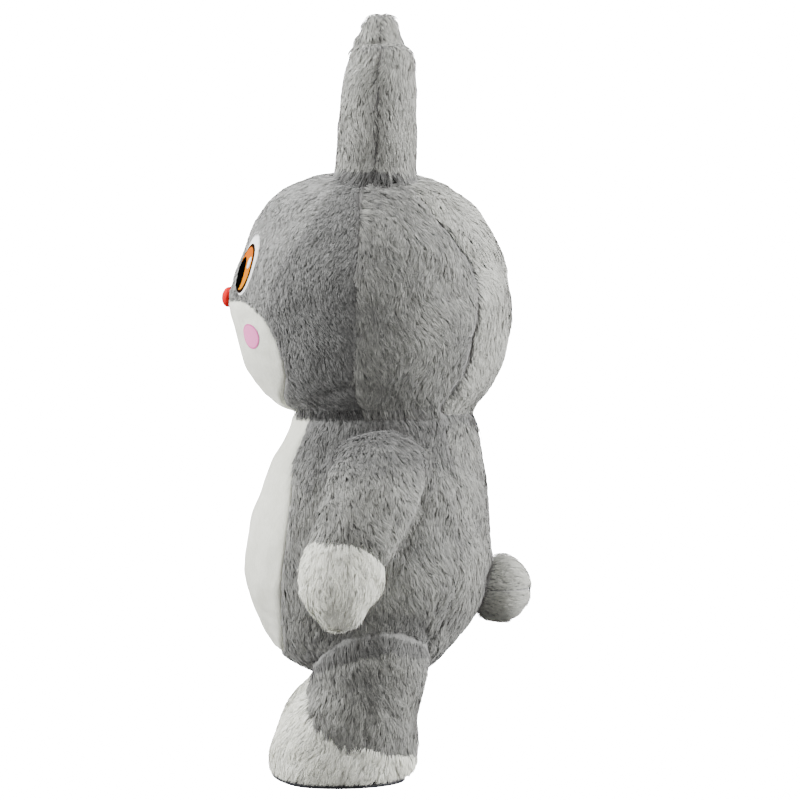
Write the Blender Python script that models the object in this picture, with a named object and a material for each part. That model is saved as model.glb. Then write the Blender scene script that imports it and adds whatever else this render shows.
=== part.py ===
"""Grey rabbit mascot costume, filled out and standing on its own soles.

The rabbit faces -Y, its left side is +X and +Z is up. The origin is on the floor under the middle of the
costume. Every panel that a maker would cut is a wall of its own, taken from one smooth form: the head, the
torso, a leg with its foot, an arm with its paw, an ear and the tail. A form is a stack of rings, so its
panels share their points and meet at seams with a small gap. The limbs, ears and tail end on the torso or
the head, and a hole inside each end joins the hollows.
"""

import math
from collections import namedtuple

import bmesh
import bpy
import numpy as np
from mathutils import Matrix, Vector

# Driving sizes, in metres
FUR_WALL = 0.008
PLUSH_WALL = 0.005
SEAM_HALF_GAP = 0.00016
JOIN_GAP = 0.0004
SEAM_DIP = 0.005
NECK_HEIGHT = 1.245
MUZZLE_SIDE_HEIGHT = 1.566
CROWN_END_DROP = 0.045
NOSE_TIP = -0.5415
TAIL_TIP = 0.5415
EAR_TIP_HEIGHT = 2.6
SOLE_THICKNESS = 0.014
TOE_SPRING = 0.02
TOE_SPRING_START = -0.22
TOE_SPRING_END = -0.36
TOE_SPRING_HEIGHT = 0.15
LEG_CENTRE = 0.21
LEG_SEAM_TURN = math.radians(17)
LEG_SEAM_TURN_FROM = 0.36
LEG_SEAM_TURN_TO = 0.17
ZIP_TAPE_REACH = 0.020
ZIP_CHAIN_REACH = 0.004
ZIP_END_HEIGHT = 0.79

Upright = namedtuple("Upright", "height front back half_width")
HEAD_RINGS = [
    Upright(NECK_HEIGHT, -0.295, 0.341, 0.335),
    Upright(1.272, -0.352, 0.352, 0.385),
    Upright(1.325, -0.406, 0.394, 0.435),
    Upright(1.410, -0.463, 0.439, 0.475),
    Upright(1.518, -0.495, 0.467, 0.500),
    Upright(1.616, -0.516, 0.474, 0.505),
    Upright(1.714, -0.500, 0.461, 0.498),
    Upright(1.812, -0.466, 0.433, 0.474),
    Upright(1.905, -0.430, 0.385, 0.432),
    Upright(1.980, -0.378, 0.325, 0.380),
    Upright(2.034, -0.308, 0.244, 0.315),
    Upright(2.066, -0.220, 0.158, 0.262),
    Upright(2.081, -0.120, 0.070, 0.225),
    Upright(2.086, -0.020, -0.020, 0.200),
]
TORSO_RINGS = [
    Upright(0.325, -0.030, -0.030, 0.200),
    Upright(0.334, -0.150, 0.085, 0.245),
    Upright(0.362, -0.255, 0.180, 0.295),
    Upright(0.410, -0.335, 0.240, 0.335),
    Upright(0.470, -0.383, 0.296, 0.367),
    Upright(0.550, -0.426, 0.355, 0.398),
    Upright(0.640, -0.454, 0.394, 0.420),
    Upright(0.735, -0.464, 0.406, 0.426),
    Upright(0.830, -0.450, 0.401, 0.418),
    Upright(0.930, -0.425, 0.396, 0.402),
    Upright(1.030, -0.387, 0.385, 0.382),
    Upright(1.126, -0.342, 0.369, 0.360),
    Upright(1.195, -0.306, 0.356, 0.345),
    Upright(NECK_HEIGHT, -0.295, 0.341, 0.335),
]
LEG_RINGS = [
    Upright(0.0143, -0.352, 0.100, 0.168),
    Upright(0.030, -0.361, 0.124, 0.177),
    Upright(0.060, -0.3645, 0.142, 0.182),
    Upright(0.105, -0.362, 0.146, 0.184),
    Upright(0.150, -0.350, 0.143, 0.183),
    Upright(0.195, -0.331, 0.143, 0.181),
    Upright(0.235, -0.305, 0.150, 0.180),
    Upright(0.272, -0.272, 0.158, 0.180),
    Upright(0.305, -0.243, 0.165, 0.181),
    Upright(0.345, -0.228, 0.173, 0.183),
    Upright(0.400, -0.225, 0.184, 0.184),
    Upright(0.450, -0.224, 0.190, 0.183),
    Upright(0.510, -0.220, 0.189, 0.178),
    Upright(0.570, -0.210, 0.182, 0.170),
]
Leaning = namedtuple("Leaning", "height front back half_width across")
EAR_RINGS = [
    Leaning(1.930, -0.128, 0.120, 0.090, 0.200),
    Leaning(1.990, -0.146, 0.134, 0.112, 0.203),
    Leaning(2.060, -0.142, 0.138, 0.128, 0.206),
    Leaning(2.150, -0.135, 0.140, 0.142, 0.209),
    Leaning(2.250, -0.128, 0.141, 0.150, 0.213),
    Leaning(2.340, -0.117, 0.140, 0.148, 0.217),
    Leaning(2.404, -0.104, 0.1365, 0.138, 0.220),
    Leaning(2.431, -0.098, 0.1362, 0.130, 0.221),
    Leaning(2.458, -0.091, 0.1294, 0.117, 0.222),
    Leaning(2.478, -0.0855, 0.117, 0.103, 0.223),
    Leaning(2.494, -0.074, 0.099, 0.086, 0.223),
    Leaning(2.512, -0.0705, 0.0925, 0.080, 0.224),
    Leaning(2.540, -0.0545, 0.083, 0.068, 0.225),
    Leaning(2.567, -0.044, 0.0752, 0.058, 0.225),
    Leaning(2.588, -0.028, 0.067, 0.046, 0.225),
    Leaning(EAR_TIP_HEIGHT, 0.020, 0.020, 0.022, 0.225),
]
Limb = namedtuple("Limb", "across along height half_depth half_thickness")
ARM_RINGS = [
    Limb(0.250, 0.024, 1.100, 0.150, 0.110),
    Limb(0.345, 0.016, 1.072, 0.154, 0.115),
    Limb(0.430, 0.002, 1.020, 0.155, 0.116),
    Limb(0.497, -0.024, 0.945, 0.152, 0.113),
    Limb(0.536, -0.054, 0.870, 0.144, 0.106),
    Limb(0.557, -0.084, 0.803, 0.134, 0.099),
    Limb(0.570, -0.101, 0.738, 0.141, 0.105),
    Limb(0.579, -0.109, 0.690, 0.136, 0.104),
    Limb(0.586, -0.1125, 0.650, 0.120, 0.093),
    Limb(0.592, -0.1125, 0.605, 0.092, 0.072),
    Limb(0.596, -0.111, 0.568, 0.054, 0.042),
    Limb(0.598, -0.110, 0.549, 0.022, 0.000),
]
Round = namedtuple("Round", "along half_height half_width")
TAIL_CENTRE_HEIGHT = 0.631
TAIL_RINGS = [
    Round(0.330, 0.090, 0.094),
    Round(0.375, 0.109, 0.113),
    Round(0.420, 0.1195, 0.124),
    Round(0.455, 0.1185, 0.122),
    Round(0.492, 0.102, 0.105),
    Round(0.520, 0.073, 0.077),
    Round(0.535, 0.042, 0.048),
    Round(TAIL_TIP, 0.000, 0.020),
]

# Seams of the head and torso, as the angle round from the front at each height
SeamAngle = namedtuple("SeamAngle", "height degrees")
FACE_SEAM = [
    SeamAngle(1.245, 19),
    SeamAngle(1.27, 26),
    SeamAngle(1.318, 39),
    SeamAngle(1.36, 46),
    SeamAngle(1.41, 48.5),
    SeamAngle(1.461, 48.5),
    SeamAngle(1.52, 46),
    SeamAngle(MUZZLE_SIDE_HEIGHT, 42),
    SeamAngle(1.622, 46),
    SeamAngle(1.663, 48),
    SeamAngle(1.732, 51),
    SeamAngle(1.80, 56),
    SeamAngle(1.88, 63.5),
    SeamAngle(1.937, 68.5),
    SeamAngle(1.99, 71),
    SeamAngle(2.086, 72),
]
SIDE_SEAM = [
    SeamAngle(1.245, 78),
    SeamAngle(1.41, 83),
    SeamAngle(1.60, 85),
    SeamAngle(1.99, 86),
    SeamAngle(2.086, 90),
]
BACK_HEAD_SEAM = [
    SeamAngle(1.245, 130),
    SeamAngle(1.38, 136),
    SeamAngle(1.60, 138),
    SeamAngle(1.74, 136),
    SeamAngle(1.82, 130),
    SeamAngle(1.88, 124),
    SeamAngle(1.99, 119),
    SeamAngle(2.086, 108),
]
BELLY_SEAM = [
    SeamAngle(0.325, 20),
    SeamAngle(0.427, 28),
    SeamAngle(0.504, 40),
    SeamAngle(0.568, 44.5),
    SeamAngle(0.667, 47.5),
    SeamAngle(0.776, 49.5),
    SeamAngle(0.894, 49),
    SeamAngle(0.952, 47),
    SeamAngle(1.046, 41.5),
    SeamAngle(1.112, 39),
    SeamAngle(1.245, 38.5),
]
BACK_BODY_SEAM = [
    SeamAngle(0.325, 128),
    SeamAngle(0.60, 136),
    SeamAngle(1.00, 136),
    SeamAngle(1.245, 132),
]
# Where the white muzzle meets the grey face, from the nose out to the muzzle's corner and round to the back
MuzzleEdge = namedtuple("MuzzleEdge", "share height")
MUZZLE_EDGE = [
    MuzzleEdge(0.0, 1.635),
    MuzzleEdge(0.43, 1.632),
    MuzzleEdge(0.64, 1.621),
    MuzzleEdge(0.80, 1.604),
    MuzzleEdge(0.93, 1.580),
    MuzzleEdge(1.0, MUZZLE_SIDE_HEIGHT),
]
# Where the grey leg meets the white foot, from the front round to the heel
FootSeam = namedtuple("FootSeam", "degrees height")
FOOT_SEAM = [
    FootSeam(0, 0.322),
    FootSeam(38, 0.291),
    FootSeam(54, 0.254),
    FootSeam(65, 0.221),
    FootSeam(76, 0.192),
    FootSeam(84, 0.170),
    FootSeam(98, 0.160),
    FootSeam(109, 0.1515),
    FootSeam(125, 0.129),
    FootSeam(146, 0.114),
    FootSeam(180, 0.104),
]

# Pieces laid on the face: middle height, angle round from the front, half sizes and layer
Patch = namedtuple("Patch", "name height degrees half_width half_height layer material")
EYE_PATCHES = [
    Patch("eye_white", 1.7455, 28.2, 0.065, 0.1045, 0, "felt_white"),
    Patch("eye_iris", 1.732, 27.2, 0.057, 0.084, 1, "eye_orange"),
    Patch("eye_pupil", 1.716, 25.0, 0.031, 0.056, 2, "eye_black"),
    Patch("eye_glint", 1.748, 31.0, 0.011, 0.020, 2, "felt_white"),
]
CHEEK_PATCH = Patch("cheek", 1.501, 31.5, 0.056, 0.042, 0, "cheek_pink")
PATCH_CLEARANCE = 0.0004
PATCH_THICKNESS = 0.0014
PATCH_LAYER_STEP = 0.0019
NOSE_HEIGHT = 1.6475
NOSE_HALF_WIDTH = 0.056
NOSE_HALF_HEIGHT = 0.035
NOSE_EDGE_THICKNESS = 0.004

# Zip slider and pull, in the slider's own frame: X across, Y out of the back, Z up the chain
SLIDER_HEIGHT = 1.186
SLIDER_WIDTH = 0.015
SLIDER_LENGTH = 0.022
SLIDER_THICKNESS = 0.004
SLIDER_LIFT = 0.0003
BRIDGE_WIDTH = 0.0034
BRIDGE_BAR = 0.002
BRIDGE_LENGTH = 0.014
BRIDGE_CLEAR = 0.0036
PULL_BAR = 0.002
PULL_WIDTH = 0.012
PULL_LENGTH = 0.046
PULL_WINDOW = 0.010
PULL_RAIL = 0.003

COLOURS = {
    "fur_grey": ((0.21, 0.21, 0.205), 0.9, 0.0),
    "fur_face": ((0.19, 0.19, 0.188), 0.9, 0.0),
    "fur_white": ((0.80, 0.80, 0.77), 0.9, 0.0),
    "felt_white": ((0.86, 0.86, 0.84), 0.7, 0.0),
    "eye_orange": ((0.80, 0.26, 0.02), 0.5, 0.0),
    "eye_black": ((0.01, 0.01, 0.01), 0.4, 0.0),
    "cheek_pink": ((0.78, 0.38, 0.58), 0.7, 0.0),
    "nose_red": ((0.72, 0.01, 0.015), 0.45, 0.0),
    "sole_black": ((0.012, 0.012, 0.018), 0.6, 0.0),
    "zip_tape": ((0.10, 0.10, 0.10), 0.8, 0.0),
    "zip_metal": ((0.35, 0.35, 0.36), 0.35, 1.0),
}

Grid = namedtuple("Grid", "points normals flipped")


# Curves through tables


def smooth(values, at):
    """A smooth curve through evenly numbered values, read at the numbers in at."""
    values = np.asarray(values, float)
    padded = np.concatenate([[2 * values[0] - values[1]], values, [2 * values[-1] - values[-2]]])
    at = np.clip(np.asarray(at, float), 0, len(values) - 1)
    first = np.minimum(at.astype(int), len(values) - 2)
    f = at - first
    a, b, c, d = (padded[first + k] for k in range(4))
    return 0.5 * (
        2 * b + (c - a) * f + (2 * a - 5 * b + 4 * c - d) * f**2 + (3 * b - a - 3 * c + d) * f**3
    )


def column(table, name):
    return [getattr(row, name) for row in table]


def station_of(table, height):
    """The ring number at which a form reaches this height."""
    fine = np.linspace(0, len(table) - 1, 400)
    return np.interp(height, np.maximum.accumulate(smooth(column(table, "height"), fine)), fine)


def seam_angle(seam, height):
    return np.radians(np.interp(height, column(seam, "height"), column(seam, "degrees")))


# Forms: a point for a ring number and an angle round from the front


def upright_point(table, station, angle, centre=0.0, side=1):
    """A point on a form whose rings are level. Angles turn from the front towards +X."""
    front = smooth(column(table, "front"), station)
    back = smooth(column(table, "back"), station)
    half_width = smooth(column(table, "half_width"), station)
    height = smooth(column(table, "height"), station)
    x = side * (centre + half_width * np.sin(angle))
    y = (front + back) / 2 - (back - front) / 2 * np.cos(angle)
    return np.stack([x, y, height + 0 * x], axis=-1)


def head_point(station, angle):
    """The head's surface. The line over the crown, between the ears, falls away at its ends."""
    point = upright_point(HEAD_RINGS, station, angle)
    share = np.clip(np.asarray(station, float) / (len(HEAD_RINGS) - 1), 0, 1)
    point[..., 2] -= CROWN_END_DROP * share**6 * np.sin(angle) ** 2
    return point


def torso_point(station, angle):
    return upright_point(TORSO_RINGS, station, angle)


def toe_lift(y, above_sole):
    """How far the toe springs up off the floor."""
    along = np.clip((TOE_SPRING_START - y) / (TOE_SPRING_START - TOE_SPRING_END), 0, 1)
    return TOE_SPRING * along**2 * np.clip(1 - above_sole / TOE_SPRING_HEIGHT, 0, 1)


def leg_point(station, angle, side):
    """A leg and its foot, as one form. Angles turn from the front towards the outside."""
    point = upright_point(LEG_RINGS, station, angle, LEG_CENTRE, side)
    point[..., 2] += toe_lift(point[..., 1], point[..., 2] - LEG_RINGS[0].height)
    return point


def ear_point(station, angle, side):
    across = smooth(column(EAR_RINGS, "across"), station)
    return upright_point(EAR_RINGS, station, angle, across, side)


def arm_point(station, angle, side):
    """An arm and its paw. Angle 0 is the front edge and 90 degrees the outer face."""
    fine = 0.01
    axis = [smooth(column(ARM_RINGS, name), station) for name in ("across", "along", "height")]
    ahead = [smooth(column(ARM_RINGS, name), station + fine) for name in ("across", "along", "height")]
    behind = [smooth(column(ARM_RINGS, name), station - fine) for name in ("across", "along", "height")]
    centre = np.stack(axis, axis=-1)
    run = np.stack(ahead, axis=-1) - np.stack(behind, axis=-1)
    run /= np.linalg.norm(run, axis=-1, keepdims=True)
    forward = np.array([0.0, -1.0, 0.0]) + run * run[..., 1:2]
    forward /= np.linalg.norm(forward, axis=-1, keepdims=True)
    outward = np.cross(forward, run)
    depth = smooth(column(ARM_RINGS, "half_depth"), station)
    thickness = np.maximum(smooth(column(ARM_RINGS, "half_thickness"), station), 0)
    point = (
        centre
        + forward * (depth * np.cos(angle))[..., None]
        + outward * (thickness * np.sin(angle))[..., None]
    )
    point[..., 0] *= side
    return point


def tail_point(station, angle):
    """The tail. Angle 0 is its top, and its rings stand upright along Y."""
    half_height = np.maximum(smooth(column(TAIL_RINGS, "half_height"), station), 0)
    half_width = smooth(column(TAIL_RINGS, "half_width"), station)
    along = smooth(column(TAIL_RINGS, "along"), station)
    x = half_width * np.sin(angle)
    z = TAIL_CENTRE_HEIGHT + half_height * np.cos(angle)
    return np.stack([x, along + 0 * x, z], axis=-1)


# Grids of points, with the normals that a form's panels share


def grid_of(points):
    """The grid with its normals. Rows run along the form and columns go all the way round it."""
    rows, columns = points.shape[:2]
    right = np.roll(points, -1, axis=1)
    faces = np.cross(right[1:] - points[:-1], points[1:] - right[:-1])
    total = {}
    keys = [[tuple(np.round(points[r, c], 6)) for c in range(columns)] for r in range(rows)]
    for r in range(rows - 1):
        for c in range(columns):
            after = (c + 1) % columns
            for key in {keys[r][c], keys[r][after], keys[r + 1][c], keys[r + 1][after]}:
                total[key] = total.get(key, 0) + faces[r, c]
    normals = np.array([[total[key] for key in row] for row in keys])
    normals /= np.linalg.norm(normals, axis=-1, keepdims=True)
    middle = rows // 2
    outward = points[middle] - points[middle].mean(axis=0)
    flipped = (outward * normals[middle]).sum() < 0
    return Grid(points, -normals if flipped else normals, bool(flipped))


def dipped(grid, columns, depth=SEAM_DIP, rows=slice(1, -1)):
    """The grid with these columns drawn in a little, as thread draws in the cloth at a seam."""
    points = grid.points.copy()
    points[rows, columns] -= depth * grid.normals[rows, columns]
    return grid_of(points)


def dipped_row(grid, row, depth):
    points = grid.points.copy()
    points[row] -= depth * grid.normals[row]
    return grid_of(points)


# Walls and solids from a grid


def quads_in(blocks, columns):
    """The grid's faces in these blocks of (first row, last row, first column, last column)."""
    return {
        (r, c % columns)
        for first_row, last_row, first_column, last_column in blocks
        for r in range(first_row, last_row)
        for c in range(first_column, last_column)
    }


def seam_shift(grid, quads, r, c):
    """How a panel's point moves off the seams that it lies on, towards the panel's inside."""
    columns = grid.points.shape[1]
    here = {(dr, dc): (r + dr, (c + dc) % columns) in quads for dr in (-1, 0) for dc in (-1, 0)}
    along = here[0, 0] + here[0, -1] - here[-1, 0] - here[-1, -1]
    round_ = here[0, 0] + here[-1, 0] - here[0, -1] - here[-1, -1]
    move = np.zeros(3)
    if round_:
        step = int(math.copysign(1, round_))
        move += unit(grid.points[r, (c + step) % columns] - grid.points[r, c])
    if along:
        step = int(math.copysign(1, along))
        move += unit(grid.points[r + step, c] - grid.points[r, c])
    return SEAM_HALF_GAP * move


def unit(vector):
    return vector / max(np.linalg.norm(vector), 1e-9)


def wall_mesh(grid, quads, outer, inner):
    """(points, faces) of a closed wall between two depths under the grid's surface."""
    columns = grid.points.shape[1]
    corners = sorted({corner for r, c in quads for corner in quad_corners(r, c, columns)})
    number = {corner: i for i, corner in enumerate(corners)}
    shifted = [grid.points[r, c] + seam_shift(grid, quads, r, c) for r, c in corners]
    normals = [grid.normals[r, c] for r, c in corners]
    points = [p - outer * n for p, n in zip(shifted, normals)]
    points += [p - inner * n for p, n in zip(shifted, normals)]
    count = len(corners)
    faces, edges = [], {}
    for r, c in sorted(quads):
        ring = [number[corner] for corner in quad_corners(r, c, columns)]
        if grid.flipped:
            ring.reverse()
        faces.append(ring)
        faces.append([i + count for i in reversed(ring)])
        for a, b in zip(ring, ring[1:] + ring[:1]):
            edges[a, b] = True
    for a, b in edges:
        if (b, a) not in edges:
            faces.append([b, a, a + count, b + count])
    return points, faces


def quad_corners(r, c, columns):
    after = (c + 1) % columns
    return [(r, c), (r, after), (r + 1, after), (r + 1, c)]


def solid_mesh(grid, first_row, last_row, outer):
    """(points, faces) of the closed solid under a stretch of the grid, moved out by outer."""
    columns = grid.points.shape[1]
    points = (grid.points + outer * grid.normals)[first_row : last_row + 1]
    faces = []
    for r in range(last_row - first_row):
        for c in range(columns):
            after = (c + 1) % columns
            ring = [r * columns + c, r * columns + after, (r + 1) * columns + after, (r + 1) * columns + c]
            faces.append(ring[::-1] if grid.flipped else ring)
    start = list(range(columns))
    end = [(last_row - first_row) * columns + c for c in range(columns)]
    if has_area(points[0]):
        faces.append(start if grid.flipped else start[::-1])
    if has_area(points[-1]):
        faces.append(end[::-1] if grid.flipped else end)
    return points.reshape(-1, 3), faces


def has_area(ring):
    """Whether a ring is open, and not closed up into a line."""
    spokes = ring - ring.mean(axis=0)
    return np.linalg.norm(np.cross(spokes, np.roll(spokes, -1, axis=0)).sum(axis=0)) > 1e-6


# Blender objects


def clear_scene():
    for obj in list(bpy.data.objects):
        bpy.data.objects.remove(obj)


def material(name):
    found = bpy.data.materials.get(name)
    if found:
        return found
    colour, roughness, metallic = COLOURS[name]
    made = bpy.data.materials.new(name)
    made.use_nodes = True
    shader = made.node_tree.nodes["Principled BSDF"]
    shader.inputs["Base Color"].default_value = (*colour, 1)
    shader.inputs["Roughness"].default_value = roughness
    shader.inputs["Metallic"].default_value = metallic
    made.diffuse_color = (*colour, 1)
    return made


def make_object(name, points, faces, material_name=None):
    """A closed mesh object. Points that fall together are merged, as where a form ends in a line."""
    mesh = bpy.data.meshes.new(name)
    mesh.from_pydata([tuple(map(float, p)) for p in points], [], faces)
    built = bmesh.new()
    built.from_mesh(mesh)
    bmesh.ops.remove_doubles(built, verts=built.verts, dist=1e-6)
    bmesh.ops.dissolve_degenerate(built, edges=built.edges, dist=1e-7)
    bmesh.ops.triangulate(built, faces=[f for f in built.faces if len(f.verts) > 3])
    built.to_mesh(mesh)
    built.free()
    obj = bpy.data.objects.new(name, mesh)
    bpy.context.scene.collection.objects.link(obj)
    if material_name:
        mesh.materials.append(material(material_name))
        mesh.shade_smooth()
        mesh.set_sharp_from_angle(angle=math.radians(40))
    return obj


def make_cutter(name, points, faces):
    cutter = make_object(name, points, faces)
    cutter.hide_render = True
    cutter.display_type = "WIRE"
    return cutter


def cut(obj, *cutters):
    for cutter in cutters:
        boolean = obj.modifiers.new(f"cut_{cutter.name}", "BOOLEAN")
        boolean.operation = "DIFFERENCE"
        boolean.solver = "EXACT"
        boolean.object = cutter
    return obj


def make_panel(name, grid, blocks, material_name, outer=0.0, inner=FUR_WALL):
    quads = quads_in(blocks, grid.points.shape[1])
    return make_object(name, *wall_mesh(grid, quads, outer, inner), material_name)


# Head


# The crown is a line, so the columns in front of it and behind it match
FACE_COLUMNS = 6
CHEEK_COLUMNS = 4
SIDE_COLUMNS = CHEEK_COLUMNS
BACK_COLUMNS = FACE_COLUMNS
MUZZLE_ROWS = 6
HEAD_UPPER_ROWS = 9


def head_grid():
    """Rows run from the neck to the crown. One row follows the muzzle's edge, and columns follow the seams."""
    half = FACE_COLUMNS + CHEEK_COLUMNS + SIDE_COLUMNS + BACK_COLUMNS
    seams = [FACE_SEAM, SIDE_SEAM, BACK_HEAD_SEAM]
    steps = [FACE_COLUMNS, CHEEK_COLUMNS, SIDE_COLUMNS, BACK_COLUMNS]
    top = len(HEAD_RINGS) - 1
    rows = []
    for r in range(MUZZLE_ROWS + HEAD_UPPER_ROWS + 1):
        ring = []
        for c in list(range(half + 1)) + list(range(half - 1, 0, -1)):
            share = min(c / FACE_COLUMNS, 1)
            edge = np.interp(share, column(MUZZLE_EDGE, "share"), column(MUZZLE_EDGE, "height"))
            edge_station = station_of(HEAD_RINGS, edge)
            if r <= MUZZLE_ROWS:
                station = edge_station * r / MUZZLE_ROWS
            else:
                station = edge_station + (top - edge_station) * (r - MUZZLE_ROWS) / HEAD_UPPER_ROWS
            height = smooth(column(HEAD_RINGS, "height"), station)
            stops = [0.0] + [float(seam_angle(seam, height)) for seam in seams] + [math.pi]
            angle = np.interp(c, np.cumsum([0] + steps), stops)
            ring.append((station, angle))
        sides = [1] * (half + 1) + [-1] * (half - 1)
        rows.append([head_point(np.array(s), np.array(a * side)) for (s, a), side in zip(ring, sides)])
    grid = grid_of(np.array(rows))
    face, side, back = np.cumsum(steps[:3])
    seam_columns = [face, side, back, 2 * half - face, 2 * half - side, 2 * half - back]
    return dipped(grid, seam_columns), half


def make_head(ear_hollows):
    grid, half = head_grid()
    top = MUZZLE_ROWS + HEAD_UPPER_ROWS
    around = 2 * half
    face = FACE_COLUMNS
    side = face + CHEEK_COLUMNS
    back = side + SIDE_COLUMNS
    make_panel("muzzle", grid, [(0, MUZZLE_ROWS, -face, face)], "fur_white", inner=PLUSH_WALL)
    forehead = make_panel("forehead", grid, [(MUZZLE_ROWS, top, -face, face)], "fur_face")
    cut(forehead, *ear_hollows)
    for name, hollow, columns in (
        ("left", ear_hollows[0], ((face, side), (side, back))),
        ("right", ear_hollows[1], ((around - side, around - face), (around - back, around - side))),
    ):
        cheek = make_panel(f"face_side_{name}", grid, [(0, top - 1, *columns[0])], "fur_face")
        flank = make_panel(f"head_side_{name}", grid, [(0, top - 1, *columns[1])], "fur_grey")
        cut(cheek, hollow)
        cut(flank, hollow)
    rear = make_panel("head_back", grid, [(0, top, back, around - back)], "fur_grey")
    cut(rear, *ear_hollows)
    return grid


def make_ears(head):
    """Both ears, ending on the head, and the hollows that join them to it."""
    rows, columns = len(EAR_RINGS) - 1, 16
    stations = np.arange(rows + 1, dtype=float)
    angles = np.radians(np.arange(columns) * 360 / columns)
    envelope = make_cutter("head_envelope", *solid_mesh(head, 0, len(head.points) - 1, JOIN_GAP))
    hollows = []
    for name, side in (("left", 1), ("right", -1)):
        grid = grid_of(ear_point(stations[:, None], angles[None, :], side))
        quarter = columns // 4
        grid = dipped(grid, [quarter, 3 * quarter])
        for part, first in (("front", -quarter), ("back", quarter)):
            panel = make_panel(
                f"ear_{part}_{name}", grid, [(0, rows, first, first + 2 * quarter)], "fur_grey"
            )
            cut(panel, envelope)
        hollows.append(make_cutter(f"ear_hollow_{name}", *solid_mesh(grid, 0, 4, -FUR_WALL)))
    return hollows


# Face pieces


def face_spot(height, angle, lift):
    """A point on the head at this height and angle, moved out of the surface by lift."""
    fine = 1e-3
    station = station_of(HEAD_RINGS, height)
    here = head_point(np.array(station), np.array(angle))
    up = head_point(np.array(station + fine), np.array(angle)) - here
    across = head_point(np.array(station), np.array(angle + fine)) - here
    return here + lift * unit(np.cross(across, up))


def patch_rings(patch, side, lift, rings, segments):
    """Points of an oval on the head's surface: its middle, then ring after ring."""
    middle = math.radians(patch.degrees)
    station = station_of(HEAD_RINGS, patch.height)
    radius = smooth(column(HEAD_RINGS, "half_width"), station)
    points = [face_spot(patch.height, side * middle, lift(0.0))]
    for ring in range(1, rings + 1):
        share = ring / rings
        for k in range(segments):
            turn = 2 * math.pi * k / segments
            across = patch.half_width * share * math.cos(turn)
            up = patch.half_height * share * math.sin(turn)
            points.append(face_spot(patch.height + up, side * (middle + across / radius), lift(share)))
    return points


def patch_mesh(patch, side, bottom, top, rings, segments):
    """(points, faces) of a thin oval solid that follows the head."""
    lower = patch_rings(patch, side, bottom, rings, segments)
    upper = patch_rings(patch, side, top, rings, segments)
    count = len(lower)
    faces = []
    for k in range(segments):
        after = (k + 1) % segments
        cap = [[0, 1 + k, 1 + after]]
        for ring in range(rings - 1):
            start = 1 + ring * segments
            cap.append([start + k, start + segments + k, start + segments + after, start + after])
        for face in cap:
            faces.append([i + count for i in face])
            faces.append(face[::-1])
        edge = 1 + (rings - 1) * segments
        faces.append([edge + k, edge + after, edge + after + count, edge + k + count])
    if side < 0:
        faces = [face[::-1] for face in faces]
    return lower + upper, faces


def make_face_pieces():
    """The eyes and cheeks, laid on the head in thin layers, and the stuffed nose."""
    for side, name in ((1, "left"), (-1, "right")):
        for patch in [*EYE_PATCHES, CHEEK_PATCH]:
            low = PATCH_CLEARANCE + patch.layer * PATCH_LAYER_STEP
            high = low + PATCH_THICKNESS
            rings, segments = (1, 10) if patch.half_width < 0.02 else (3, 16)
            mesh = patch_mesh(patch, side, lambda s: low, lambda s: high, rings, segments)
            make_object(f"{patch.name}_{name}", *mesh, patch.material)
    nose = Patch("nose", NOSE_HEIGHT, 0, NOSE_HALF_WIDTH, NOSE_HALF_HEIGHT, 0, "nose_red")
    bulge = face_spot(NOSE_HEIGHT, 0, 0.0)[1] - NOSE_TIP - NOSE_EDGE_THICKNESS

    def dome(share):
        return NOSE_EDGE_THICKNESS + bulge * math.sqrt(max(1 - share**2, 0))

    mesh = patch_mesh(nose, 1, lambda s: PATCH_CLEARANCE, dome, 4, 18)
    make_object("nose", *mesh, nose.material)


# Torso


BELLY_COLUMNS = 5
FLANK_COLUMNS = 7
REAR_COLUMNS = 4
BELLY_FIRST_ROW = 3
TORSO_STATIONS = [0, 1, 2, 3.3, 4.1, 5, 6, 6.75, 7.6, 8.5, 9.4, 10.2, 11, 12, 13]


def torso_grid():
    """Rows run from the crotch to the neck, and columns follow the seams, the zip's tapes and its chain."""
    steps = [BELLY_COLUMNS, FLANK_COLUMNS, REAR_COLUMNS, 1, 1]
    half = sum(steps)
    zip_row = zip_first_row()
    stations = list(map(float, TORSO_STATIONS))
    stations[zip_row] = float(station_of(TORSO_RINGS, ZIP_END_HEIGHT))
    rows = []
    for station in stations:
        height = smooth(column(TORSO_RINGS, "height"), station)
        half_width = smooth(column(TORSO_RINGS, "half_width"), station)
        stops = [
            0.0,
            float(seam_angle(BELLY_SEAM, height)),
            float(seam_angle(BACK_BODY_SEAM, height)),
            math.pi - math.asin(ZIP_TAPE_REACH / half_width),
            math.pi - math.asin(ZIP_CHAIN_REACH / half_width),
            math.pi,
        ]
        angles = np.interp(np.arange(half + 1), np.cumsum([0] + steps), stops)
        if station == 0:
            angles = np.linspace(0, math.pi, half + 1)
        around = np.concatenate([angles, -angles[-2:0:-1]])
        rows.append(torso_point(np.full(len(around), station), around))
    grid = grid_of(np.array(rows))
    belly = BELLY_COLUMNS
    back = belly + FLANK_COLUMNS
    return dipped(grid, [belly, back, 2 * half - belly, 2 * half - back]), half


def zip_first_row():
    heights = smooth(column(TORSO_RINGS, "height"), TORSO_STATIONS)
    return int(np.argmin(np.abs(heights - ZIP_END_HEIGHT)))


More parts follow.
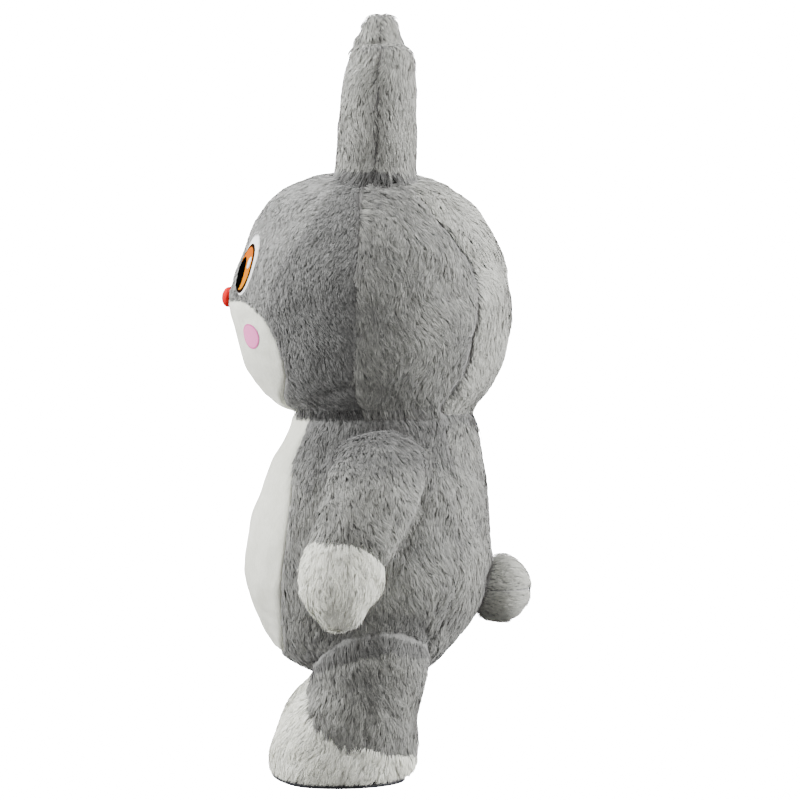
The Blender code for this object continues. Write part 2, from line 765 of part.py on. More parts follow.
def make_torso(grid, half, leg_hollows, arm_hollows, tail_hollow):
    top, around, low = len(grid.points) - 1, 2 * half, zip_first_row()
    belly = BELLY_COLUMNS
    back = belly + FLANK_COLUMNS
    tape, chain = half - 2, half - 1
    low_belly = BELLY_FIRST_ROW
    front = make_panel("belly", grid, [(low_belly, top, -belly, belly)], "fur_white", inner=PLUSH_WALL)
    cut(front, *leg_hollows)
    sides = (
        ("left", 0, (belly, back), (0, back), (back, tape), (tape, half)),
        (
            "right",
            1,
            (around - back, around - belly),
            (around - back, around),
            (around - tape, around - back),
            (half, around - tape),
        ),
    )
    for name, k, flank, under, rear, centre in sides:
        blocks = [(low_belly, top, *flank), (0, low_belly, *under)]
        panel = make_panel(f"body_side_{name}", grid, blocks, "fur_grey")
        cut(panel, leg_hollows[k], arm_hollows[k])
        panel = make_panel(f"body_back_{name}", grid, [(0, top, *rear), (0, low, *centre)], "fur_grey")
        cut(panel, leg_hollows[k], tail_hollow)
    for name, columns in (("left", (tape, chain)), ("right", (around - chain, around - tape))):
        make_panel(f"zip_tape_{name}", grid, [(low, top, *columns)], "zip_tape", 0.0052, 0.0066)
    make_panel("zip_chain", grid, [(low, top, chain, around - chain)], "zip_metal", 0.0040, 0.0074)


def leg_angles(angles, heights):
    """The columns' angles, turned back at the ankle so that the leg's side seam hangs straight."""
    share = np.clip((LEG_SEAM_TURN_FROM - heights) / (LEG_SEAM_TURN_FROM - LEG_SEAM_TURN_TO), 0, 1)
    return angles + LEG_SEAM_TURN * share * np.sin(angles)


def make_legs(torso_envelope):
    """Both legs and feet with their soles. The leg's two panels end on the torso."""
    columns = 20
    angles = np.radians(np.arange(columns) * 360 / columns)
    foot_rows, leg_rows = 6, 5
    turned = np.degrees(leg_angles(angles, LEG_SEAM_TURN_TO))
    turned = np.minimum(turned, 360 - turned)
    seam_heights = np.interp(turned, column(FOOT_SEAM, "degrees"), column(FOOT_SEAM, "height"))
    seam_stations = station_of(LEG_RINGS, seam_heights)
    last = len(LEG_RINGS) - 1
    low = seam_stations[None, :] * (np.arange(foot_rows + 1) / foot_rows)[:, None]
    high = seam_stations + (last - seam_stations) * (np.arange(1, leg_rows + 1) / leg_rows)[:, None]
    stations = np.concatenate([low, high])
    heights = smooth(column(LEG_RINGS, "height"), stations)
    hollows = []
    for name, side in (("left", 1), ("right", -1)):
        points = leg_point(stations, leg_angles(angles[None, :], heights), side)
        grid = dipped_row(grid_of(points), foot_rows, SEAM_DIP)
        half, quarter = columns // 2, columns // 4
        make_panel(f"foot_outer_{name}", grid, [(0, foot_rows, 0, half)], "fur_white")
        make_panel(f"foot_inner_{name}", grid, [(0, foot_rows, half, columns)], "fur_white")
        top = foot_rows + leg_rows
        for part, first in (("front", -quarter), ("back", quarter)):
            blocks = [(foot_rows, top, first, first + half)]
            cut(make_panel(f"leg_{part}_{name}", grid, blocks, "fur_grey"), torso_envelope)
        hollows.append(make_cutter(f"leg_hollow_{name}", *solid_mesh(grid, foot_rows - 1, top, -FUR_WALL)))
        make_sole(f"sole_{name}", side)
    return hollows


def make_sole(name, side):
    """A flat slab under the foot, which springs up a little at the toe."""
    segments, rings = 20, 2
    edge = upright_point(LEG_RINGS, 0.0, np.radians(np.arange(segments) * 360 / segments), LEG_CENTRE, side)
    middle = edge.mean(axis=0)
    points, faces = [], []
    for top in (False, True):
        for ring in range(rings + 1):
            ring_points = middle + (edge - middle) * ring / rings
            for x, y, _ in ring_points if ring else ring_points[:1]:
                points.append((x, y, SOLE_THICKNESS * top + toe_lift(y, 0.0)))
    count = len(points) // 2
    for k in range(segments):
        after = (k + 1) % segments
        cap = [[0, 1 + k, 1 + after]]
        for ring in range(rings - 1):
            start = 1 + ring * segments
            cap.append([start + k, start + segments + k, start + segments + after, start + after])
        for face in cap:
            faces.append([i + count for i in face])
            faces.append(face[::-1])
        rim = 1 + (rings - 1) * segments
        faces.append([rim + k, rim + after, rim + after + count, rim + k + count])
    if side < 0:
        faces = [face[::-1] for face in faces]
    make_object(name, points, faces, "sole_black")


def make_arms(torso_envelope):
    """Both arms and paws. The arm's two panels end on the torso."""
    columns = 16
    wrist = 5
    stations = np.arange(len(ARM_RINGS), dtype=float)
    angles = np.radians(np.arange(columns) * 360 / columns)
    hollows = []
    for name, side in (("left", 1), ("right", -1)):
        shape = (len(stations), columns)
        points = arm_point(np.broadcast_to(stations[:, None], shape), np.broadcast_to(angles, shape), side)
        grid = dipped_row(grid_of(points), wrist, SEAM_DIP)
        half, tip = columns // 2, len(stations) - 1
        for part, first in (("outer", 0), ("inner", half)):
            sleeve = make_panel(f"arm_{part}_{name}", grid, [(0, wrist, first, first + half)], "fur_grey")
            cut(sleeve, torso_envelope)
            make_panel(f"paw_{part}_{name}", grid, [(wrist, tip, first, first + half)], "fur_white")
        hollows.append(make_cutter(f"arm_hollow_{name}", *solid_mesh(grid, 0, 3, -FUR_WALL)))
    return hollows


def make_tail(torso_envelope):
    """The round tail in an upper and a lower half, ending on the back, and the hollow inside."""
    columns = 16
    angles = np.radians(np.arange(columns) * 360 / columns)
    stations = np.arange(len(TAIL_RINGS), dtype=float)
    grid = grid_of(tail_point(stations[:, None], angles[None, :]))
    quarter, last = columns // 4, len(stations) - 1
    for part, first in (("upper", -quarter), ("lower", quarter)):
        panel = make_panel(f"tail_{part}", grid, [(0, last, first, first + 2 * quarter)], "fur_grey")
        cut(panel, torso_envelope)
    return make_cutter("tail_hollow", *solid_mesh(grid, 0, 3, -FUR_WALL))


# Zip slider and pull


def box(centre, size):
    """(points, faces) of an upright box."""
    outline = [(-1, -1), (1, -1), (1, 1), (-1, 1)]
    offsets = [(x, y, z) for z in (-1, 1) for x, y in outline]
    points = [tuple(c + s / 2 * k for c, s, k in zip(centre, size, offset)) for offset in offsets]
    faces = [[0, 3, 2, 1], [4, 5, 6, 7], [0, 1, 5, 4], [1, 2, 6, 5], [2, 3, 7, 6], [3, 0, 4, 7]]
    return points, faces


def prism(outline, thickness):
    """(points, faces) of an outline in the Y-Z plane, extruded both ways along X."""
    count = len(outline)
    points = [(-thickness / 2, y, z) for y, z in outline] + [(thickness / 2, y, z) for y, z in outline]
    faces = [list(range(count))[::-1], [i + count for i in range(count)]]
    faces += [[i, (i + 1) % count, (i + 1) % count + count, i + count] for i in range(count)]
    return points, faces


def place(obj, frame):
    obj.matrix_world = frame
    return obj


def slider_frame():
    """The slider's place: on the chain, with Z up the chain and Y out of the back."""
    fine = 1e-3
    station = station_of(TORSO_RINGS, SLIDER_HEIGHT)
    here = torso_point(np.array(station), np.array(math.pi))
    up = unit(torso_point(np.array(station + fine), np.array(math.pi)) - here)
    x_axis = Vector((1, 0, 0))
    z_axis = Vector(up)
    y_axis = z_axis.cross(x_axis)
    turn = Matrix((x_axis, y_axis, z_axis)).transposed().to_4x4()
    return Matrix.Translation(Vector(here)) @ turn


def make_slider_and_pull():
    """The zip's slider, with a bridge over it, and the pull that swings from a bar under the bridge."""
    frame = slider_frame()
    base = SLIDER_LIFT - 0.0040
    body_middle = base + SLIDER_THICKNESS / 2
    body_size = (SLIDER_WIDTH, SLIDER_THICKNESS, SLIDER_LENGTH)
    body = make_object("zip_slider", *box((0, body_middle, 0), body_size), "zip_metal")
    place(body, frame)
    bevel = body.modifiers.new("soft_edges", "BEVEL")
    bevel.width = 0.0008
    bevel.segments = 1
    top = base + SLIDER_THICKNESS
    half, bar, clear = BRIDGE_LENGTH / 2, BRIDGE_BAR, BRIDGE_CLEAR
    sunk = top - SLIDER_THICKNESS / 3
    outline = [
        (sunk, -half),
        (top + clear * 0.6, -half),
        (top + clear + bar, -half + bar),
        (top + clear + bar, half - bar),
        (top + clear * 0.6, half),
        (sunk, half),
        (sunk, half - bar),
        (top + clear * 0.5, half - bar),
        (top + clear, half - 1.6 * bar),
        (top + clear, -half + 1.6 * bar),
        (top + clear * 0.5, -half + bar),
        (sunk, -half + bar),
    ]
    bridge = make_cutter("zip_bridge", *prism(outline, BRIDGE_WIDTH))
    place(bridge, frame)
    join = body.modifiers.new("bridge", "BOOLEAN")
    join.operation = "UNION"
    join.solver = "EXACT"
    join.object = bridge
    axis_out = top + clear / 2
    pivot = frame @ Matrix.Translation((0, axis_out, 0))
    window_top = -PULL_BAR / 2
    pull = make_object(
        "zip_pull",
        *box((0, 0, PULL_BAR / 2 - PULL_LENGTH / 2), (PULL_WIDTH, PULL_BAR * 0.85, PULL_LENGTH)),
        "zip_metal",
    )
    place(pull, pivot)
    window_width = PULL_WIDTH - 2 * PULL_RAIL
    window = make_cutter(
        "pull_window",
        *box((0, 0, window_top - PULL_WINDOW / 2), (window_width, 4 * PULL_BAR, PULL_WINDOW)),
    )
    place(window, pivot)
    cut(pull, window)
    return pivot.translation


def main():
    clear_scene()
    grid_head, _ = head_grid()
    make_head(make_ears(grid_head))
    make_face_pieces()
    grid_torso, half = torso_grid()
    envelope = make_cutter(
        "torso_envelope", *solid_mesh(grid_torso, 0, len(grid_torso.points) - 1, JOIN_GAP)
    )
    leg_hollows = make_legs(envelope)
    arm_hollows = make_arms(envelope)
    tail_hollow = make_tail(envelope)
    make_torso(grid_torso, half, leg_hollows, arm_hollows, tail_hollow)
    make_slider_and_pull()


main()
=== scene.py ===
"""Grey rabbit mascot costume, dressed over its solids.

Each panel of fur fabric is a thin cloth shell on its solid's own form, with its seams and creases
pressed in, and the pile stands on it as one joined mesh of strands. The muzzle and the belly are short
plush. The face pieces, the soles and the back zip are pieces of their own.
"""

import logging
import math
import zlib
from contextlib import contextmanager
from dataclasses import dataclass, field, replace
from enum import Enum
from typing import Callable, Iterator, Optional, Sequence

import bpy
import numpy as np
from mathutils import Matrix, Vector
from mathutils.kdtree import KDTree


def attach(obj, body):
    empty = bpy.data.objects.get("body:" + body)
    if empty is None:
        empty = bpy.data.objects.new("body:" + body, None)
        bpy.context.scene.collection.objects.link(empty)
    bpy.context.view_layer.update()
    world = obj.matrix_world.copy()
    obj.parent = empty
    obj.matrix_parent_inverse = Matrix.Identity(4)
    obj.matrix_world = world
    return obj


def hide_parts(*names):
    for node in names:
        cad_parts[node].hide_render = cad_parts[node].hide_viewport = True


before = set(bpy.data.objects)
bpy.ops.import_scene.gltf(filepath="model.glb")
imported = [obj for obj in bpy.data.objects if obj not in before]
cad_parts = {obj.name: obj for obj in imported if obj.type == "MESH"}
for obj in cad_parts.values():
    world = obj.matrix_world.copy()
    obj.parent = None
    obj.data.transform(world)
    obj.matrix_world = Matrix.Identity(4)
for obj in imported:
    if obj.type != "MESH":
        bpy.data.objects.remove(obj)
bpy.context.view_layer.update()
LOG = logging.getLogger("costume")

Array = np.ndarray
Colour = tuple[float, float, float]
Reading = Callable[[Array], Array]

BAKE_MAP = "OFBake"

# Heights and reaches on the costume, in metres
NECK_HEIGHT = 1.245
MUZZLE_SIDE_HEIGHT = 1.566
CROWN_END_DROP = 0.045
NOSE_TIP = -0.5415
SOLE_THICKNESS = 0.014
TOE_SPRING = 0.02
TOE_SPRING_START = -0.22
TOE_SPRING_END = -0.36
TOE_SPRING_HEIGHT = 0.15
LEG_CENTRE = 0.21
LEG_SEAM_TURN = math.radians(17)
LEG_SEAM_TURN_FROM = 0.36
LEG_SEAM_TURN_TO = 0.17
ZIP_TAPE_REACH = 0.020
ZIP_END_HEIGHT = 0.79
BELLY_FIRST_STATION = 3.3
BELLY_ALLOWANCE = 0.16

# Rings of each form. Upright ones: height, front, back, half width and, on an ear, how far across
HEAD_RINGS = [
    (NECK_HEIGHT, -0.295, 0.341, 0.335),
    (1.272, -0.352, 0.352, 0.385),
    (1.325, -0.406, 0.394, 0.435),
    (1.410, -0.463, 0.439, 0.475),
    (1.518, -0.495, 0.467, 0.500),
    (1.616, -0.516, 0.474, 0.505),
    (1.714, -0.500, 0.461, 0.498),
    (1.812, -0.466, 0.433, 0.474),
    (1.905, -0.430, 0.385, 0.432),
    (1.980, -0.378, 0.325, 0.380),
    (2.034, -0.308, 0.244, 0.315),
    (2.066, -0.220, 0.158, 0.262),
    (2.081, -0.120, 0.070, 0.225),
    (2.086, -0.020, -0.020, 0.200),
]
TORSO_RINGS = [
    (0.325, -0.030, -0.030, 0.200),
    (0.334, -0.150, 0.085, 0.245),
    (0.362, -0.255, 0.180, 0.295),
    (0.410, -0.335, 0.240, 0.335),
    (0.470, -0.383, 0.296, 0.367),
    (0.550, -0.426, 0.355, 0.398),
    (0.640, -0.454, 0.394, 0.420),
    (0.735, -0.464, 0.406, 0.426),
    (0.830, -0.450, 0.401, 0.418),
    (0.930, -0.425, 0.396, 0.402),
    (1.030, -0.387, 0.385, 0.382),
    (1.126, -0.342, 0.369, 0.360),
    (1.195, -0.306, 0.356, 0.345),
    (NECK_HEIGHT, -0.295, 0.341, 0.335),
]
LEG_RINGS = [
    (0.0143, -0.352, 0.100, 0.168),
    (0.030, -0.361, 0.124, 0.177),
    (0.060, -0.3645, 0.142, 0.182),
    (0.105, -0.362, 0.146, 0.184),
    (0.150, -0.350, 0.143, 0.183),
    (0.195, -0.331, 0.143, 0.181),
    (0.235, -0.305, 0.150, 0.180),
    (0.272, -0.272, 0.158, 0.180),
    (0.305, -0.243, 0.165, 0.181),
    (0.345, -0.228, 0.173, 0.183),
    (0.400, -0.225, 0.184, 0.184),
    (0.450, -0.224, 0.190, 0.183),
    (0.510, -0.220, 0.189, 0.178),
    (0.570, -0.210, 0.182, 0.170),
]
EAR_RINGS = [
    (1.930, -0.128, 0.120, 0.090, 0.200),
    (1.990, -0.146, 0.134, 0.112, 0.203),
    (2.060, -0.142, 0.138, 0.128, 0.206),
    (2.150, -0.135, 0.140, 0.142, 0.209),
    (2.250, -0.128, 0.141, 0.150, 0.213),
    (2.340, -0.117, 0.140, 0.148, 0.217),
    (2.404, -0.104, 0.1365, 0.138, 0.220),
    (2.431, -0.098, 0.1362, 0.130, 0.221),
    (2.458, -0.091, 0.1294, 0.117, 0.222),
    (2.478, -0.0855, 0.117, 0.103, 0.223),
    (2.494, -0.074, 0.099, 0.086, 0.223),
    (2.512, -0.0705, 0.0925, 0.080, 0.224),
    (2.540, -0.0545, 0.083, 0.068, 0.225),
    (2.567, -0.044, 0.0752, 0.058, 0.225),
    (2.588, -0.028, 0.067, 0.046, 0.225),
    (2.600, 0.020, 0.020, 0.022, 0.225),
]
# Rings of an arm: height, across, along, half depth and half thickness
ARM_RINGS = [
    (1.100, 0.250, 0.024, 0.150, 0.110),
    (1.072, 0.345, 0.016, 0.154, 0.115),
    (1.020, 0.430, 0.002, 0.155, 0.116),
    (0.945, 0.497, -0.024, 0.152, 0.113),
    (0.870, 0.536, -0.054, 0.144, 0.106),
    (0.803, 0.557, -0.084, 0.134, 0.099),
    (0.738, 0.570, -0.101, 0.141, 0.105),
    (0.690, 0.579, -0.109, 0.136, 0.104),
    (0.650, 0.586, -0.1125, 0.120, 0.093),
    (0.605, 0.592, -0.1125, 0.092, 0.072),
    (0.568, 0.596, -0.111, 0.054, 0.042),
    (0.549, 0.598, -0.110, 0.022, 0.000),
]
WRIST_RING = 5
# Rings of the tail: how far back, half height and half width
TAIL_RINGS = [
    (0.330, 0.090, 0.094),
    (0.375, 0.109, 0.113),
    (0.420, 0.1195, 0.124),
    (0.455, 0.1185, 0.122),
    (0.492, 0.102, 0.105),
    (0.520, 0.073, 0.077),
    (0.535, 0.042, 0.048),
    (0.5415, 0.000, 0.020),
]
TAIL_CENTRE_HEIGHT = 0.631

# Seams: height, and the angle round from the front in degrees
FACE_SEAM = [
    (1.245, 19), (1.27, 26), (1.318, 39), (1.36, 46), (1.41, 48.5), (1.461, 48.5), (1.52, 46),
    (MUZZLE_SIDE_HEIGHT, 42), (1.622, 46), (1.663, 48), (1.732, 51), (1.80, 56), (1.88, 63.5),
    (1.937, 68.5), (1.99, 71), (2.086, 72),
]
SIDE_SEAM = [(1.245, 78), (1.41, 83), (1.60, 85), (1.99, 86), (2.086, 90)]
BACK_HEAD_SEAM = [
    (1.245, 130), (1.38, 136), (1.60, 138), (1.74, 136), (1.82, 130), (1.88, 124), (1.99, 119),
    (2.086, 108),
]
BELLY_SEAM = [
    (0.325, 20), (0.427, 28), (0.504, 40), (0.568, 44.5), (0.667, 47.5), (0.776, 49.5), (0.894, 49),
    (0.952, 47), (1.046, 41.5), (1.112, 39), (1.245, 38.5),
]
BACK_BODY_SEAM = [(0.325, 128), (0.60, 136), (1.00, 136), (1.245, 132)]
# Upper edge of the white muzzle: share of the way from the nose to its corner, and height
MUZZLE_EDGE = [
    (0.0, 1.635), (0.43, 1.632), (0.64, 1.621), (0.80, 1.604), (0.93, 1.580), (1.0, MUZZLE_SIDE_HEIGHT),
]
# Where the grey leg meets the white foot: degrees round from the front, and height
FOOT_SEAM = [
    (0, 0.322), (38, 0.291), (54, 0.254), (65, 0.221), (76, 0.192), (84, 0.170), (98, 0.160), (109, 0.1515),
    (125, 0.129), (146, 0.114), (180, 0.104),
]

# Cloth and pile, in metres
FUR_INSET = 0.010
PLUSH_INSET = 0.0035
SEAM_DEPTH = 0.012
SEAM_REACH = 0.011
NECK_REACH = 0.02
CLOTH_STEP = 0.017
PLUSH_STEP = 0.012
CLOTH_THICKNESS = 0.0025
COARSE_ROWS = 24
# Cut sizes are rounded up to this many steps a metre
FLAT_STEPS = 200
COVERED_MARGIN = 0.016
COVERED_ROOTS = 0.004
ROOT_DEPTH = 0.0015
PILE_FLOOR = 0.010
# Strands a square metre
PILE_DENSITY = 58000
STRAND_WANDER = math.radians(7)
# How clumps and strands differ from the pile's own length, lift, lean and width, as shares
CLUMP_LENGTHS = (0.75, 1.2)
CLUMP_LIFTS = (0.8, 1.12)
LENGTHS = (0.8, 1.15)
LIFTS = (0.7, 1.15)
LEANS = (0.6, 1.1)
WIDTHS = (0.7, 1.3)
# How they differ in tone
CLUMP_TONES = 0.07
TONES = 0.08
# A strand's middle: its share of the way to the tip, and of the lift that it stands higher
MIDDLE = 0.45
MIDDLE_RISE = 0.32
# How far a strand is rolled, bends, and is rounded by its normals
ROLL = 0.22
BEND = 0.18
ROUNDING = 0.28
# How much shorter strands are at a parted seam and on the ears' ledges
SEAM_SHORTER = 0.45
LEDGE_SHORTER = 0.5
# How high the cloth's broad and small lumps are
LUMPS = 0.0022
SMALL_LUMPS = 0.0012
# At a parted seam: the bare gap, how far the pile is combed and turned away, and how much painted shade
# darkens it
PARTING_GAP = 0.008
COMBED_BACK = 0.9
COMBED_REACH = 0.045
PARTING_REACH = 0.022
PARTING_SHADE = 0.8
# Higher than the costume, where a parting or a shade has no upper end
NO_TOP = 9.0
TOP_FADE = 0.12
# At hems, and where a panel meets another form, with the reach of painted shade there
HEM_REACH = 0.03
HEM_SHADE_REACH = 0.05
JOIN_FRINGE_REACH = 0.024
DRAPE = 0.007
EAR_DRAPE = 0.013
DRAPE_STEPS = 4
# The heights between which the painted shadow under the head grows
NECK_SHADOW = (0.99, 1.15)
# The ends of the bake map that cloth and strands use
MAP_ENDS = (0.02, 0.98)
MAP_MIDDLE = 0.46


class Side(Enum):
    """The costume's own left and right."""

    LEFT = 1
    RIGHT = -1

    @property
    def word(self) -> str:
        """The side as it stands in a piece's name."""
        return self.name.lower()


class Body(Enum):
    """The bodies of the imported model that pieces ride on."""

    COSTUME = "costume"
    PULL = "zip_pull"


class Slot(Enum):
    """The record's material slots."""

    GREY_FUR = "grey_fur"
    FACE_FUR = "face_fur"
    WHITE_FUR = "white_fur"
    WHITE_PLUSH = "white_plush"
    EYE_WHITE = "eye_white"
    EYE_IRIS = "eye_iris"
    EYE_PUPIL = "eye_pupil"
    CHEEK_PINK = "cheek_pink"
    NOSE_RED = "nose_red"
    SOLE_BLACK = "sole_black"
    ZIP_TAPE = "zip_tape"
    ZIP_CHAIN = "zip_chain"
    ZIP_METAL = "zip_metal"


# Curves, noise and vectors


def smooth(values: Array, at: Array) -> Array:
    """Read a smooth curve through evenly numbered values.

    Args:
        values: The curve's values at 0, 1, 2 and so on.
        at: The numbers to read it at.

    Returns:
        The curve's values there, held at its ends.
    """
    padded = np.concatenate([[2 * values[0] - values[1]], values, [2 * values[-1] - values[-2]]])
    at = np.clip(np.asarray(at, float), 0, len(values) - 1)
    first = np.minimum(at.astype(int), len(values) - 2)
    f = at - first
    a, b, c, d = (padded[first + k] for k in range(4))
    return 0.5 * (
        2 * b + (c - a) * f + (2 * a - 5 * b + 4 * c - d) * f**2 + (3 * b - a - 3 * c + d) * f**3
    )


def unit(vectors: Array) -> Array:
    """Vectors of length one along the last axis."""
    return vectors / np.maximum(np.linalg.norm(vectors, axis=-1, keepdims=True), 1e-9)


def fade(values: Array, start: float, end: float) -> Array:
    """Rise softly from 0 at start to 1 at end."""
    t = np.clip((values - start) / (end - start), 0, 1)
    return t * t * (3 - 2 * t)


def bell(values: Array, reach: float) -> Array:
    """Fall softly from 1 at 0 to nothing past the reach."""
    return np.exp(-((values / reach) ** 2))


def seeded(name: str) -> np.random.Generator:
    """A random source that always gives the same numbers for a name."""
    return np.random.default_rng(zlib.crc32(name.encode()))


def waves(points: Array, size: float, name: str) -> Array:
    """Uneven soft waves in space, as in cloth or pile that was never combed flat.

    Args:
        points: Where to read them.
        size: About how far apart two crests are.
        name: What the waves are for, which fixes their pattern.

    Returns:
        A value at each point, mostly between -1 and 1.
    """
    rng = seeded(name)
    total = np.zeros(points.shape[:-1])
    count = 9
    for _ in range(count):
        heading = unit(rng.normal(size=3))
        pitch = size * rng.uniform(0.7, 1.5)
        total += np.sin(points @ heading * (2 * math.pi / pitch) + rng.uniform(0, 2 * math.pi))
    return total / math.sqrt(count / 2) * 0.7


def turned(directions: Array, normals: Array, angles: Array) -> Array:
    """Directions in a surface, turned round its normals by angles."""
    return directions * np.cos(angles)[..., None] + np.cross(normals, directions) * np.sin(angles)[..., None]


def seam_at(table: Sequence[tuple[float, float]], height: Array) -> Array:
    """The angle of a seam at a height, in radians."""
    heights, degrees = zip(*table)
    return np.radians(np.interp(height, heights, degrees))


def toe_lift(y: Array, above_sole: Array) -> Array:
    """How far the toe springs up off the floor."""
    along = np.clip((TOE_SPRING_START - y) / (TOE_SPRING_START - TOE_SPRING_END), 0, 1)
    return TOE_SPRING * along**2 * np.clip(1 - above_sole / TOE_SPRING_HEIGHT, 0, 1)


# Forms


@dataclass(frozen=True, eq=False)
class Form:
    """A smooth hollow form, read as points at ring numbers and angles round it.

    Attributes:
        rings: The form's rings, one a row, with its place along the form first.
        side: 1, or -1 where the form is mirrored to the other side.
        start: Which way the cloth faces where the form closes at its first ring.
        end: Which way it faces at its last ring.
    """

    rings: Array
    side: int = 1
    start: tuple[float, float, float] = (0, 0, -1)
    end: tuple[float, float, float] = (0, 0, 1)

    @property
    def last(self) -> int:
        """The number of the last ring."""
        return len(self.rings) - 1

    def column(self, index: int, station: Array) -> Array:
        """One of the rings' sizes, at ring numbers."""
        return smooth(self.rings[:, index], station)

    def station(self, place: Array) -> Array:
        """The ring number at which the form reaches a place along it."""
        fine = np.linspace(0, self.last, 500)
        places = self.column(0, fine)
        if places[0] > places[-1]:
            fine, places = fine[::-1], places[::-1]
        return np.interp(place, np.maximum.accumulate(places), fine)

    def point(self, station: Array, angle: Array) -> Array:
        """The form's surface at ring numbers and angles."""
        raise NotImplementedError

    def settle(self, angle: Array, station: Array) -> Array:
        """A column's angle once the form's own twist is in it."""
        return angle

    def facing(self) -> int:
        """Whether round-by-up points out of the form or into it."""
        return self.side

    def normal(self, station: Array, angle: Array) -> Array:
        """The way that the surface faces, turning to the form's end where it closes up."""
        fine = 1e-2
        inner = np.clip(station, 4 * fine, self.last - 4 * fine)
        up = self.point(inner + fine, angle) - self.point(inner - fine, angle)
        around = self.point(inner, angle + fine) - self.point(inner, angle - fine)
        found = unit(np.cross(around, up)) * self.facing()
        for share, way, closes in (
            (fade(station, 0.5, 0.0), self.start, self.closes(0)),
            (fade(station, self.last - 0.5, self.last), self.end, self.closes(self.last)),
        ):
            if closes:
                found = unit(found * (1 - share[..., None]) + np.array(way) * share[..., None])
        return found

    def closes(self, station: int) -> bool:
        """Whether the ring there has closed up into a line."""
        angles = np.array([0.0, math.pi / 2, math.pi, 1.5 * math.pi])
        ring = self.point(np.full(4, float(station)), angles)
        spans = np.linalg.norm(ring[2:] - ring[:2], axis=-1)
        return bool(spans.min() < 1e-4)

    def inside(self, points: Array, margin: float) -> Array:
        """Which points lie inside the form by more than the margin."""
        raise NotImplementedError


@dataclass(frozen=True, eq=False)
class UprightForm(Form):
    """A form whose rings are level, such as the head, the torso, a leg or an ear."""

    centre: float = 0.0
    crown_drop: float = 0.0
    is_leg: bool = False

    def middle(self, station: Array) -> Array:
        """How far across the rings' middles stand."""
        return self.column(4, station) if self.rings.shape[1] > 4 else self.centre + 0 * station

    def point(self, station: Array, angle: Array) -> Array:
        """The form's surface at ring numbers and angles from the front."""
        station, angle = np.broadcast_arrays(np.asarray(station, float), np.asarray(angle, float))
        front, back, half_width = (self.column(k, station) for k in (1, 2, 3))
        x = self.side * (self.middle(station) + half_width * np.sin(angle))
        y = (front + back) / 2 - (back - front) / 2 * np.cos(angle)
        z = self.column(0, station) - self.crown_drop * (station / self.last) ** 6 * np.sin(angle) ** 2
        if self.is_leg:
            z = z + toe_lift(y, z - self.rings[0, 0])
        return np.stack([x, y, z], axis=-1)

    def settle(self, angle: Array, station: Array) -> Array:
        """On a leg, the columns turn back at the ankle so that the side seam hangs straight."""
        if not self.is_leg:
            return angle
        return ankle_turn(angle, self.column(0, station))

    def inside(self, points: Array, margin: float) -> Array:
        """Which points lie inside the form by more than the margin."""
        height = points[..., 2]
        station = self.station(height)
        front, back, half_width = (self.column(k, station) for k in (1, 2, 3))
        across = (self.side * points[..., 0] - self.middle(station)) / np.maximum(half_width - margin, 1e-4)
        along = (points[..., 1] - (front + back) / 2) / np.maximum((back - front) / 2 - margin, 1e-4)
        level = (height > self.rings[0, 0] + margin) & (height < self.rings[-1, 0] - margin)
        return (across**2 + along**2 < 1) & level


def ankle_turn(angle: Array, height: Array) -> Array:
    """A leg column's angle at a height."""
    share = np.clip((LEG_SEAM_TURN_FROM - height) / (LEG_SEAM_TURN_FROM - LEG_SEAM_TURN_TO), 0, 1)
    return angle + LEG_SEAM_TURN * share * np.sin(angle)


@dataclass(frozen=True, eq=False)
class ArmForm(Form):
    """An arm and its paw. Angle 0 is the front edge and 90 degrees the outer face."""

    def axis(self, station: Array) -> Array:
        """The line down the middle of the arm, on the left side."""
        return np.stack([self.column(k, station) for k in (1, 2, 0)], axis=-1)

    def axes(self, station: Array) -> tuple[Array, Array, Array]:
        """The ways down the arm, forward and outward at ring numbers, on the left side."""
        fine = 0.01
        run = unit(self.axis(station + fine) - self.axis(station - fine))
        forward = unit(np.array([0.0, -1.0, 0.0]) + run * run[..., 1:2])
        return run, forward, np.cross(forward, run)

    def point(self, station: Array, angle: Array) -> Array:
        """The form's surface at ring numbers and angles from the front edge."""
        station, angle = np.broadcast_arrays(np.asarray(station, float), np.asarray(angle, float))
        _, forward, outward = self.axes(station)
        depth = self.column(3, station)
        thickness = np.maximum(self.column(4, station), 0)
        found = (
            self.axis(station)
            + forward * (depth * np.cos(angle))[..., None]
            + outward * (thickness * np.sin(angle))[..., None]
        )
        return found * np.array([self.side, 1, 1])

    def facing(self) -> int:
        """The rings run down the arm, so round-by-up points into it."""
        return -self.side

    def inside(self, points: Array, margin: float) -> Array:
        """Which points lie inside the arm by more than the margin."""
        stations = np.linspace(0, self.last, 90)
        axis = self.axis(stations)
        local = points.reshape(-1, 3) * np.array([self.side, 1, 1])
        nearest = np.array([np.argmin(((axis - p) ** 2).sum(axis=1)) for p in local], int)
        _, forward, outward = self.axes(stations[nearest])
        offset = local - axis[nearest]
        along = (offset * forward).sum(axis=1) / np.maximum(self.column(3, stations[nearest]) - margin, 1e-4)
        out = (offset * outward).sum(axis=1) / np.maximum(self.column(4, stations[nearest]) - margin, 1e-4)
        within = (along**2 + out**2 < 1) & (nearest > 0) & (nearest < 89)
        return within.reshape(points.shape[:-1])


